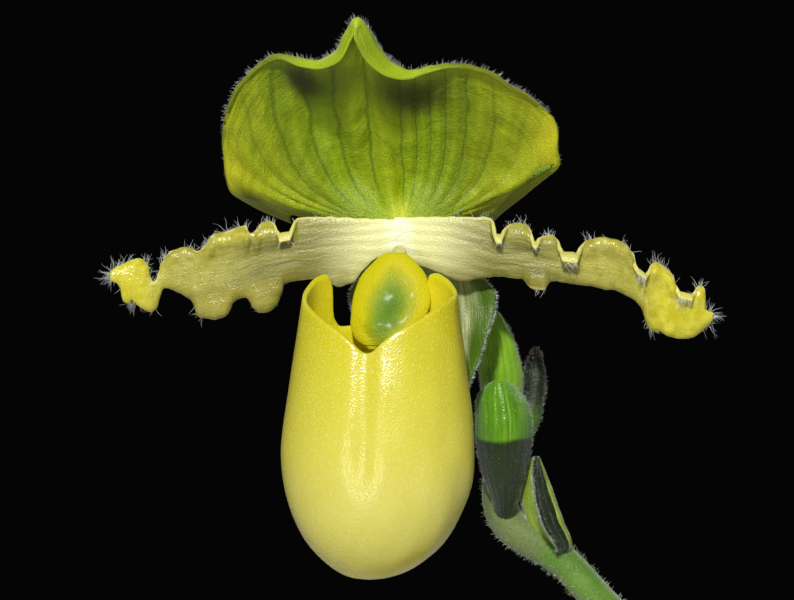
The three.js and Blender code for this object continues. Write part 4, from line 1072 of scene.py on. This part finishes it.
def add_bract(name, finish, hair, seed):
    """A bract: two halves that meet at its keel and reach along its far and near arms"""
    bract = BRACTS[name]
    u, v = blade_lines(90, 48)
    half_width = through(bract["width"], u)
    arm_x, arm_y = (np.where(v < 0, far, near) for far, near in zip(bract["far_arm"], bract["near_arm"]))
    part = np.abs(v)
    side = np.stack([half_width * arm_x * part, half_width * arm_y * part ** 2, 0 * u * v], -1)
    keel = 0.18 * np.exp(-((v / 0.12) ** 2)) * soft_step(u, 0.05, 0.3)
    ribs = 0.05 * np.cos(v * 2 * math.pi * 3) * (1 - v ** 4)
    side[..., 1] -= keel + ribs + 0.06 * waves(half_width * v, u * 14, 2.2, seed)
    grid = place_through(bract["line"], u) + side
    half = 0.3 * fading(v, 12) * fading(2 * u - 1, 40)
    normals = grid_normals(grid)
    outer = -facing(normals, 1)
    edge = 0.02 * waves(v * 3, 0 * v, 3.0, seed + 4) - 0.03 * v * v
    # painted shadow over the lower part, where the pouch's shadow falls, and painted shade on the near half's
    # outside
    painted_shade = 0.95 * (1 - soft_step(u + edge, *bract["painted_shade"])) + bract["near_painted_shade"] * (v > 0.05)
    shades = {"u": u, "v": v, "painted_shade": painted_shade, "painted_light": bract["painted_light"]}
    add_blade(f"{name}_blade", in_flower(grid), half, finish, "bract", name, shades, ("outside", outer > 0))
    add_bract_hairs(name, grid, normals * outer, hair, seed)


BUDS = {
    "bud": {
        "path": [[11.5, 6.3, -28.8], [11.3, 6.0, -26], [11.4, 5.6, -22], [11.4, 5.7, -18.6]],
        "radius": [[0, 0.6], [0.25, 1.2], [0.6, 1.35], [0.9, 0.8], [1, 0.3]],
    },
    "young_bud": {
        "path": [[14.1, 11.3, -23.4], [14.7, 11.9, -20], [15.2, 12.2, -16.5], [15.4, 12.0, -12.9]],
        "radius": [[0, 0.7], [0.3, 1.5], [0.6, 1.45], [0.9, 0.8], [1, 0.3]],
    },
    "ovary": {
        "path": [
            [11.3, 10.6, -21.8], [10.6, 11.2, -17], [8.4, 11.6, -10.5], [4.3, 10.2, -3.6],
            [1.2, 6.2, -0.6], [0, 2.2, 0],
        ],
        "radius": [[0, 1.1], [0.2, 1.25], [0.5, 1.9], [0.8, 2.1], [1, 1.5]],
    },
    "column": {
        "path": [[0.2, -1.2, -2.2], [0.3, -2.6, -3.1], [0, -4.2, -5.4], [-0.7, -5.0, -8.6],
                 [-1.6, -6.1, -11.6]],
        "radius": [[0, 0.8], [0.25, 1.0], [0.5, 1.2], [0.75, 1.7], [0.9, 1.5], [1, 0.8]],
    },
}


def add_bract_hairs(name, grid, outward, hair, seed):
    """A fringe of hairs on a bract's margins, and short velvet over its outside"""
    random = np.random.default_rng(seed)
    rows, columns = grid.shape[:2]
    count = BRACT_FRINGE_HAIRS
    i = random.integers(6, rows - 1, count)
    j = np.where(random.random(count) < 0.5, 0, columns - 1)
    aim = unit(grid[i, j] - grid[i, np.where(j == 0, 5, columns - 6)]) + random.normal(0, 0.5, (count, 3))
    fringe = (grid[i, j], aim, random.uniform(0.2, 0.55, count))
    count = BRACT_VELVET_HAIRS
    i = random.integers(6, rows - 1, count)
    j = random.integers(1, columns - 1, count)
    out = outward[i, j]
    velvet = (grid[i, j] + out * 0.25, out + [0, 0, 0.6] + random.normal(0, 0.3, (count, 3)),
              random.uniform(0.1, 0.22, count))
    roots, aims, lengths = (np.concatenate(pair) for pair in zip(fringe, velvet))
    add_hairs(f"{name}_hairs", in_flower(roots), aims, lengths, hair, "bract",
              radius=0.018, curl=0.12, steps=2, seed=seed + 1)


def in_place(points):
    """Places that already are in the part's frame"""
    return points


def add_stalk(name, node, path, radius, place, finish, slot, sides, steps, ribs=(0, 0), shades=None):
    """A round body along a path, with ribs [how many, how deep]. Gives back its rings and its line."""
    share = np.linspace(0, 1, steps)
    line = spline(path, even(path, share))
    rings = stalk_rings(line, through(radius, share), sides, ribs)
    bumps = 0.035 * waves(np.arange(sides)[None] * 0.45, np.linspace(0, 60, steps)[:, None], 2.0, len(name))
    rings = place(rings + unit(rings - line[:, None]) * bumps[..., None])
    line = place(line)
    points, faces = ringed(rings, line[0], line[-1])
    layers = {"u": on_rings(share[:, None], rings, 0, 1)}
    for key, values in (shades or {}).items():
        layers[key] = on_rings(values[:, None], rings, values[0], values[-1])
    add_piece(name, points, faces, finish, slot, [node], layers)
    return rings, line


def hairs_on(name, body, count, lengths, lean, finish, slot, seed, radius=0.02):
    """Short hairs all over a stalk, leaning a little along it, from its rings and its line"""
    rings, line = body
    random = np.random.default_rng(seed)
    steps, sides = rings.shape[:2]
    k = random.integers(1, steps - 1, count)
    spot = random.random((count, 1))
    j = random.integers(0, sides, count)
    root = rings[k, j] + (rings[k, (j + 1) % sides] - rings[k, j]) * spot
    root = root + (rings[k + 1, j] - rings[k, j]) * random.random((count, 1))
    along = unit(line[k + 1] - line[k - 1])
    aim = unit(root - line[k]) + along * lean + random.normal(0, 0.25, (count, 3))
    add_hairs(name, root, aim, random.uniform(*lengths, count), finish, slot,
              radius=radius, curl=0.1, steps=2, seed=seed + 1)


SCAPE_FOOT = np.array([0.0, 0.0, 102.0])
SCAPE_RISE = np.array([[0, 0, 0], [-2.6, -0.4, 40], [-11, -2.3, 73], [-24.6, -5.6, 103], [-43.2, -10.1, 131]])
SCAPE_TOP = np.array([[22.3, 9, -41.1], [18, 9, -36.6], [11.9, 9, -32.2], [11.2, 9.9, -26.4],
                      [11.7, 10.4, -22.6]])
SCAPE_RADIUS = [[0, 2.3], [0.2, 2.1], [0.8, 1.9], [0.9, 1.85], [0.96, 2.0], [1, 1.35]]
SCAPE_STEPS = 420
SCAPE_BARE_STEPS = 60
OVARY_STEPS = 90


def add_scape(stem, down):
    """The stem from the main crown up to the flower, grey where the bracts grow, and its hairs"""
    path = np.concatenate([SCAPE_RISE + SCAPE_FOOT, SCAPE_TOP + FLOWER])
    share = np.linspace(0, 1, SCAPE_STEPS)
    grey = 0.75 * soft_step(share, 0.915, 0.93) * (1 - soft_step(share, 0.97, 0.99))
    body = add_stalk("scape_stem", "scape", path, SCAPE_RADIUS, in_place, stem, "stem", 28, SCAPE_STEPS,
                     shades={"grey": grey})
    upper = [rows[SCAPE_BARE_STEPS:] for rows in body]
    hairs_on("scape_hairs", upper, 7000, (0.3, 0.7), 0.2, down, "stem", 71, 0.021)


def add_stems(finishes):
    """The stem, the ovary, the two buds and the column, and the hairs on them"""
    add_scape(finishes["stem"], finishes["down"])
    body = add_stalk("ovary_body", "ovary", *BUDS["ovary"].values(), in_flower, finishes["stem"], "stem",
                     42, OVARY_STEPS, (6, 0.09), {"grey": np.full(OVARY_STEPS, 0.15)})
    hairs_on("ovary_hairs", body, 1900, (0.25, 0.55), 0.2, finishes["down"], "stem", 73)
    for name, count in (("bud", 500), ("young_bud", 450)):
        body = add_stalk(f"{name}_body", name, *BUDS[name].values(), in_flower, finishes["bud"], "bud",
                         30, 60, (3, 0.06))
        hairs_on(f"{name}_hairs", body, count, (0.2, 0.5), 0.5, finishes["down"], "bud", 75 + count)
    add_stalk("column_body", "column", *BUDS["column"].values(), in_heart, finishes["column"], "column",
              30, 60, (2, 0.08))


# Leaves

LEAF_HALF_WIDTH = 14
LEAF_THICKNESS = 1.1
LEAF_WIDTH = [[0, 0.42], [0.15, 0.62], [0.4, 0.95], [0.6, 1], [0.8, 0.86], [0.93, 0.5], [1, 0.08]]
LEAF_FOLD = [[0, 52], [0.15, 42], [0.4, 26], [1, 9]]
FANS = {
    "leaf": {"crown": "crown", "place": [0, 0, 84], "turn": 20, "scale": 1, "rows": 120, "leaves": [
        # Side, place out and up from the fan's foot, rise at the foot and at the end, length, and width
        [1, 8, 10, 40, -16, 150, 1], [-1, 8, 12, 46, -8, 160, 1.04], [1, 7.5, 15, 61, 2, 168, 1.06],
        [-1, 7.5, 17, 67, 16, 160, 1], [1, 5.2, 20, 80, 40, 132, 0.9], [-1, 5, 22, 84, 62, 84, 0.72],
    ]},
    "shoot_leaf": {"crown": "shoot_crown", "place": [-11, 27, 86], "turn": 27, "scale": 0.55, "rows": 80,
                   "leaves": [
        [1, 7.5, 12, 52, 14, 120, 1], [-1, 7.5, 14, 66, 44, 108, 0.95], [1, 5.2, 20, 80, 58, 92, 0.8],
    ]},
}
LEAF_FOOT = 0.07


def leaf_grid(leaf, along, across, seed):
    """Points of a leaf, u along it, v across it, and its half width"""
    side, out, up, rise, end, length, width = leaf
    v = blade_lines(along, across)[1]
    u = np.linspace(-LEAF_FOOT, 1, along)[:, None]
    start = math.radians(rise)
    bend = (math.radians(end) - start) / length
    below = np.minimum(u, 0)
    angle = start + bend * length * np.maximum(u, 0)
    x = out + (np.sin(angle) - math.sin(start)) / bend + below * length * 0.35 * math.cos(start)
    z = up - (np.cos(angle) - math.cos(start)) / bend + below * length
    tip = np.clip((u - 0.86) / 0.14, 0, 1)
    round_tip = through(LEAF_WIDTH, u) * (1 - tip ** 2) + 0.62 * fading(tip, 2) * tip ** 2
    low = below / LEAF_FOOT
    half_width = (round_tip + 0.012) * LEAF_HALF_WIDTH * width * (1 + 0.18 * low)
    fold = np.radians(through(LEAF_FOLD, u) - 16 * low)
    sag = 0.5 * waves(u * 40, v * 6, 26, seed) * soft_step(u, 0.1, 0.5) * np.abs(v)
    veins = 0.06 * np.cos(v * 2 * math.pi * 5) * (1 - v ** 4)
    lift = half_width * np.sin(fold) * (np.hypot(v, 0.12) - 0.12) + sag + veins
    reach = half_width * np.cos(fold) * v
    turn = 2.2 * waves(u * 40, 0 * u, 60, seed + 3) * soft_step(u, 0.1, 0.9)
    grid = np.stack([side * (x - np.sin(angle) * lift), reach + turn, z + np.cos(angle) * lift], -1)
    return grid, u, v, half_width


def on_fan(points, fan):
    """Points of a fan's own leaves or crown, where the fan grows"""
    return turned(points * fan["scale"], fan["turn"]) + fan["place"]


def add_leaves(finish):
    """The leaves of the main fan and of the side growth"""
    for name, fan in FANS.items():
        for k, leaf in enumerate(fan["leaves"]):
            grid, u, v, half_width = leaf_grid(leaf, fan["rows"], 24, 81 + k)
            grid = on_fan(grid, fan)
            half = LEAF_THICKNESS / 2 * fading(v, 10) * fading(np.clip(u, 0, 1), 60) * (1 - 0.35 * np.abs(v))
            shades = {"along": u * leaf[5], "across": half_width * v, "edge": np.abs(v)}
            node = f"{name}_{k + 1}"
            add_blade(f"{node}_blade", grid, half, finish, "leaf", node, shades,
                      ("upper", facing(grid_normals(grid), 2) > 0))


CROWN_PROFILE = [[0, 5.5], [4, 7.3], [14, 8.8], [23, 8.2], [28.5, 6.2], [31.4, 3]]


def add_crown(node, fan, finish):
    """A crown: a flattened stub of folded sheaths that overlap, each with a papery edge"""
    height = np.linspace(0, CROWN_PROFILE[-1][0], 70)[:, None]
    angle = circle(64)[None]
    edges = height / 9.5 - 1.25 * np.abs(np.cos(angle - 0.12 * np.sin(height)))
    scales = (edges + 0.04 * np.sin(5 * angle)) % 1
    radius = through(CROWN_PROFILE, height) * (0.93 + 0.10 * scales ** 4)
    radius = radius + 0.10 * waves(angle * 6, height * 0.3, 1.4, 91)
    rings = on_fan(oval_rings(1.35 * radius, 0.75 * radius, angle, height), fan)
    points, faces = ringed(rings, rings[0].mean(0), rings[-1].mean(0) + [0, 0, 0.3])
    shades = {"u": on_rings(height / CROWN_PROFILE[-1][0], rings, 0, 1), "turn": on_rings(angle, rings),
              "edge": on_rings(scales, rings)}
    add_piece(f"{node}_sheaths", points, faces, finish, "crown", [node], shades)


# Pot and bark

POT = {"height": 105, "rim_height": 18, "rim": 60, "shoulder": 54, "base": 39, "wall": 5, "floor": 6,
       "drains": 4, "drain": 4.5, "drain_circle": 24}
MIX_LEVEL = 90
MIX_GAP = 0.4
BED_FLOOR = 6.4


def inner_radius(height):
    """Radius of the pot's inner wall at a height"""
    span = POT["height"] - POT["rim_height"]
    return POT["base"] - POT["wall"] + (POT["shoulder"] - POT["base"]) * height / span


def rounded(profile, radius, steps=5):
    """A profile whose corners are rounded, and whose long sides have points of their own"""
    profile = np.array(profile, float)
    made = [profile[0]]
    for before, corner, after in zip(profile, profile[1:], profile[2:]):
        ways = [before - corner, after - corner]
        cut = min(radius, *(np.linalg.norm(way) / 2.2 for way in ways))
        a, b = (corner + unit(way) * cut for way in ways)
        made += [a * (1 - t) ** 2 + 2 * corner * t * (1 - t) + b * t * t for t in np.linspace(0, 1, steps)]
    made.append(profile[-1])
    fine = []
    for a, b in zip(made, made[1:]):
        parts = max(int(np.linalg.norm(b - a) / 1.6), 1)
        fine += [a + (b - a) * k / parts for k in range(parts)]
    return np.array(fine + [made[-1]])


def pot_rings():
    """Rings of the pot, up its outside, over its rim and down its inside, with turning marks on its walls"""
    top, bottom, rim = POT["height"], POT["height"] - POT["rim_height"], POT["rim"]
    low = bottom - (rim - POT["shoulder"])
    profile = [
        [2, 0], [POT["base"] - 1, 0], [POT["base"], 1], [POT["shoulder"] - 1, bottom - 1], [rim - 2, bottom],
        [rim - 1, bottom + 1], [rim, top - 2], [rim - 2, top], [rim - POT["wall"], top],
        [inner_radius(top - 3), top - 3], [inner_radius(low), low],
        [inner_radius(POT["floor"]), POT["floor"]], [2, POT["floor"]],
    ]
    outline = rounded(profile, 1.6)
    angle = circle(128)[None]
    radius, height = outline[:, :1], outline[:, 1:]
    uneven = 0.16 * waves(np.cos(angle) * 40, np.sin(angle) * 40 + height, 34, 95)
    turning = 0.09 * waves(height, 0 * height, 3.4, 96)
    wallish = soft_step(radius, POT["base"] - 8, POT["base"] - 5) * soft_step(height, 1.5, 4)
    radius = radius + (uneven + turning) * wallish
    return oval_rings(radius, radius, angle, height)


def add_pot(finish):
    """The pot, with its drain holes cut through its floor"""
    points, faces = ringed(pot_rings(), [0, 0, 0], [0, 0, POT["floor"]])
    pot = add_piece("pot_clay", points, faces, finish, "clay", ["pot"])
    holes = []
    for k in range(POT["drains"]):
        turn = (k + 0.5) * 2 * math.pi / POT["drains"]
        x, y = POT["drain_circle"] * math.cos(turn), POT["drain_circle"] * math.sin(turn)
        bpy.ops.mesh.primitive_cylinder_add(
            vertices=32, radius=POT["drain"] * MM, depth=POT["floor"] * 3 * MM,
            location=[x * MM, y * MM, POT["floor"] / 2 * MM])
        holes.append(bpy.context.object)
        change = pot.modifiers.new("drain", "BOOLEAN")
        change.operation = "DIFFERENCE"
        change.solver = "EXACT"
        change.object = holes[-1]
    graph = bpy.context.evaluated_depsgraph_get()
    cut = bpy.data.meshes.new_from_object(pot.evaluated_get(graph))
    pot.modifiers.clear()
    pot.data = cut
    for hole in holes:
        bpy.data.objects.remove(hole)
    cut.polygons.foreach_set("use_smooth", np.full(len(cut.polygons), True))


def chip(random, length, width, thick):
    """One bark chip about the origin: an uneven slab whose rim is split into layers"""
    sides, layers = 12, 5
    angle = np.sort(circle(sides) + random.uniform(-0.18, 0.18, sides))
    squarish = 1 / np.maximum(np.abs(np.cos(angle)), np.abs(np.sin(angle))) ** 0.75
    outline = squarish * random.uniform(0.8, 1.08, sides)
    rings = []
    for level in np.linspace(-1, 1, layers):
        inset = outline * (1 - 0.18 * abs(level) ** 3 + random.uniform(-0.07, 0.05, sides))
        height = thick / 2 * level + random.uniform(-0.05, 0.05, sides) * thick
        rings.append(oval_rings(length / 2 * inset, width / 2 * inset, angle, height))
    return np.array(rings)


def spin(points, x, y, z):
    """Points turned about X, then Y, then Z, in radians"""
    cx, sx, cy, sy, cz, sz = math.cos(x), math.sin(x), math.cos(y), math.sin(y), math.cos(z), math.sin(z)
    about_x = np.array([[1, 0, 0], [0, cx, -sx], [0, sx, cx]])
    about_y = np.array([[cy, 0, sy], [0, 1, 0], [-sy, 0, cy]])
    about_z = np.array([[cz, -sz, 0], [sz, cz, 0], [0, 0, 1]])
    return points @ (about_z @ about_y @ about_x).T


def clear_of_plant(x, y, reach):
    """Whether a spot on the bark is clear of both crowns"""
    for fan in FANS.values():
        at = turned(np.array([x - fan["place"][0], y - fan["place"][1], 0]), -fan["turn"])
        wide, deep = 12.5 * fan["scale"] + reach, 7 * fan["scale"] + reach
        if (at[0] / wide) ** 2 + (at[1] / deep) ** 2 < 1:
            return False
    return True


def bark_bed():
    """The dark bed of bark under the chips, as its rings"""
    profile = [[30, BED_FLOOR]]
    profile += [[inner_radius(z) - MIX_GAP, z] for z in (BED_FLOOR, 45)]
    edge = inner_radius(MIX_LEVEL) - MIX_GAP
    profile.append([edge, MIX_LEVEL - 3])
    profile += [[edge * share, MIX_LEVEL - 2.4] for share in (0.97, 0.9, 0.75, 0.6, 0.45, 0.3, 0.15)]
    profile = np.array(profile)
    rings = oval_rings(profile[:, :1], profile[:, :1], circle(96), profile[:, 1:])
    rings[4:, :, 2] += 0.8 * waves(rings[4:, :, 0], rings[4:, :, 1], 9, 102)
    return rings


# Each layer of chips: how many, from and up to which height over the mix, and how large
CHIP_LAYERS = [(230, -2.4, -0.4, 0.8), (170, -0.6, 2.2, 1.0), (46, 1.6, 4.0, 1.1)]
GOLDEN_ANGLE = 2.399963


def bark_chips():
    """The rings and the tone of each chip, laid from below to above"""
    random = np.random.default_rng(101)
    edge = inner_radius(MIX_LEVEL) - MIX_GAP
    for layer, (count, low, high, size) in enumerate(CHIP_LAYERS):
        for k in range(count):
            length, width = random.uniform(7, 14) * size, random.uniform(5, 9) * size
            thick = random.uniform(2.0, 4.2) * size
            turn = random.uniform(0, 2 * math.pi)
            radius = (edge - length * 0.5) * math.sqrt((k + random.random()) / count)
            bearing = k * GOLDEN_ANGLE + layer
            x, y = radius * math.cos(bearing), radius * math.sin(bearing)
            tilt = random.uniform(-0.4, 0.4, 2)
            rings = chip(random, length, width, thick)
            tone = random.random()
            if clear_of_plant(x, y, width * 0.42):
                yield spin(rings, *tilt, turn) + [x, y, MIX_LEVEL + random.uniform(low, high)], tone


def add_bark(finish):
    """The bark mix: a dark bed, and chips laid in it"""
    bed = bark_bed()
    bodies = [(*ringed(bed, [0, 0, BED_FLOOR], bed[-1].mean(0)), 0.05)]
    for rings, tone in bark_chips():
        bodies.append((*ringed(rings, rings[0].mean(0), rings[-1].mean(0)), tone))
    counts = [len(points) for points, _, _ in bodies]
    starts = [sum(counts[:k]) for k in range(len(bodies))]
    faces = [[i + start for i in face] for (_, some, _), start in zip(bodies, starts) for face in some]
    tones = np.repeat([tone for _, _, tone in bodies], counts)
    add_piece("bark_mix", np.concatenate([points for points, _, _ in bodies]), faces, finish, "bark",
              ["potting_bark"], {"tone": tones}, smooth=False)


# Camera, lights and floor

# The camera stands level, in front of the flower and a little below its centre
CAMERA_PLACE = np.array([-84.33, -443, 286.5])

# Each light's bearing right of the camera and height above it in degrees, then distance, size and power
LIGHTS = {
    "key": (-6, 35, 1.3, (0.09, 0.09), 16.4),
    "second": (-21, -5, 1.3, (0.07, 0.12), 1.8),
    "top": (-20, 75, 1.4, (0.8, 0.8), 0.6),
    "behind left": (-150, 30, 1.6, (0.5, 0.7), 3.6),
    "behind right": (140, 26, 1.6, (0.5, 0.7), 3.0),
}

# The world as light on the plant, and as the backdrop that the camera sees
WORLD_LIGHT = (0.025, 0.025, 0.025, 1)
WORLD_SEEN = (0.0015, 0.0015, 0.0015, 1)


def add_camera():
    camera = bpy.data.objects.new("camera", bpy.data.cameras.new("camera"))
    camera.data.sensor_width = 36
    camera.data.lens = 173.1
    camera.data.clip_start = 0.01
    camera.data.clip_end = 50
    camera.location = CAMERA_PLACE * MM
    camera.rotation_euler = (math.pi / 2, 0, 0)
    bpy.context.scene.collection.objects.link(camera)
    bpy.context.scene.camera = camera


def add_light(name, bearing, height, distance, size, power):
    """A soft box that faces the flower"""
    a, e = math.radians(bearing), math.radians(height)
    way = np.array([math.sin(a) * math.cos(e), -math.cos(a) * math.cos(e), math.sin(e)])
    light = bpy.data.lights.new(name, "AREA")
    light.shape = "RECTANGLE"
    light.size, light.size_y = size
    light.energy = power
    lamp = bpy.data.objects.new(name, light)
    lamp.location = FLOWER * MM + way * distance
    lamp.rotation_euler = (math.pi / 2 - e, 0, a)
    lamp.visible_camera = False
    bpy.context.scene.collection.objects.link(lamp)


def add_floor():
    """A wide pale floor under the pot"""
    bpy.ops.mesh.primitive_circle_add(vertices=128, radius=3.2, fill_type="NGON", location=(0, 0, 0))
    floor = bpy.context.object
    floor.name = "floor"
    f = Finish("floor")
    color = f.mix(f.noise(0.004, 2), (206, 205, 202), (214, 213, 210))
    floor.data.materials.append(f.done(color, None, 0.9, specular_ior_level=0.1))


def add_studio():
    """The floor, the lights and the dark world"""
    add_floor()
    for name, values in LIGHTS.items():
        add_light(name, *values)
    world = bpy.data.worlds.new("studio")
    world.use_nodes = True
    bpy.context.scene.world = world
    tree = world.node_tree
    seen = tree.nodes.new("ShaderNodeLightPath").outputs["Is Camera Ray"]
    blend = tree.nodes.new("ShaderNodeMix")
    blend.data_type = "RGBA"
    blend.inputs[6].default_value = WORLD_LIGHT
    blend.inputs[7].default_value = WORLD_SEEN
    tree.links.new(seen, blend.inputs[0])
    tree.links.new(blend.outputs[2], tree.nodes["Background"].inputs["Color"])
    bpy.context.scene.view_settings.view_transform = "Standard"


add_camera()
finishes = {
    "stem": stem_finish(), "bud": bud_finish(), "column": column_finish(),
    "hair": hair_finish("white hair", (236, 238, 230)), "down": hair_finish("stem down", (176, 182, 136)),
}
bract, petal, leaf = bract_finish(), petal_finish(), leaf_finish()
add_dorsal(sepal_finish(), finishes["hair"])
add_petal("left", petal, finishes["hair"], 5)
add_petal("right", petal, finishes["hair"], 9)
add_pouch(pouch_finish())
add_shield(shield_finish())
add_synsepal(synsepal_finish(), finishes["hair"])
for number, bract_name in enumerate(BRACTS):
    add_bract(bract_name, bract, finishes["down"], 200 + 10 * number)
add_stems(finishes)
add_leaves(leaf)
crown = crown_finish()
for fan in FANS.values():
    add_crown(fan["crown"], fan, crown)
add_pot(clay_finish())
add_bark(bark_finish())
add_studio()
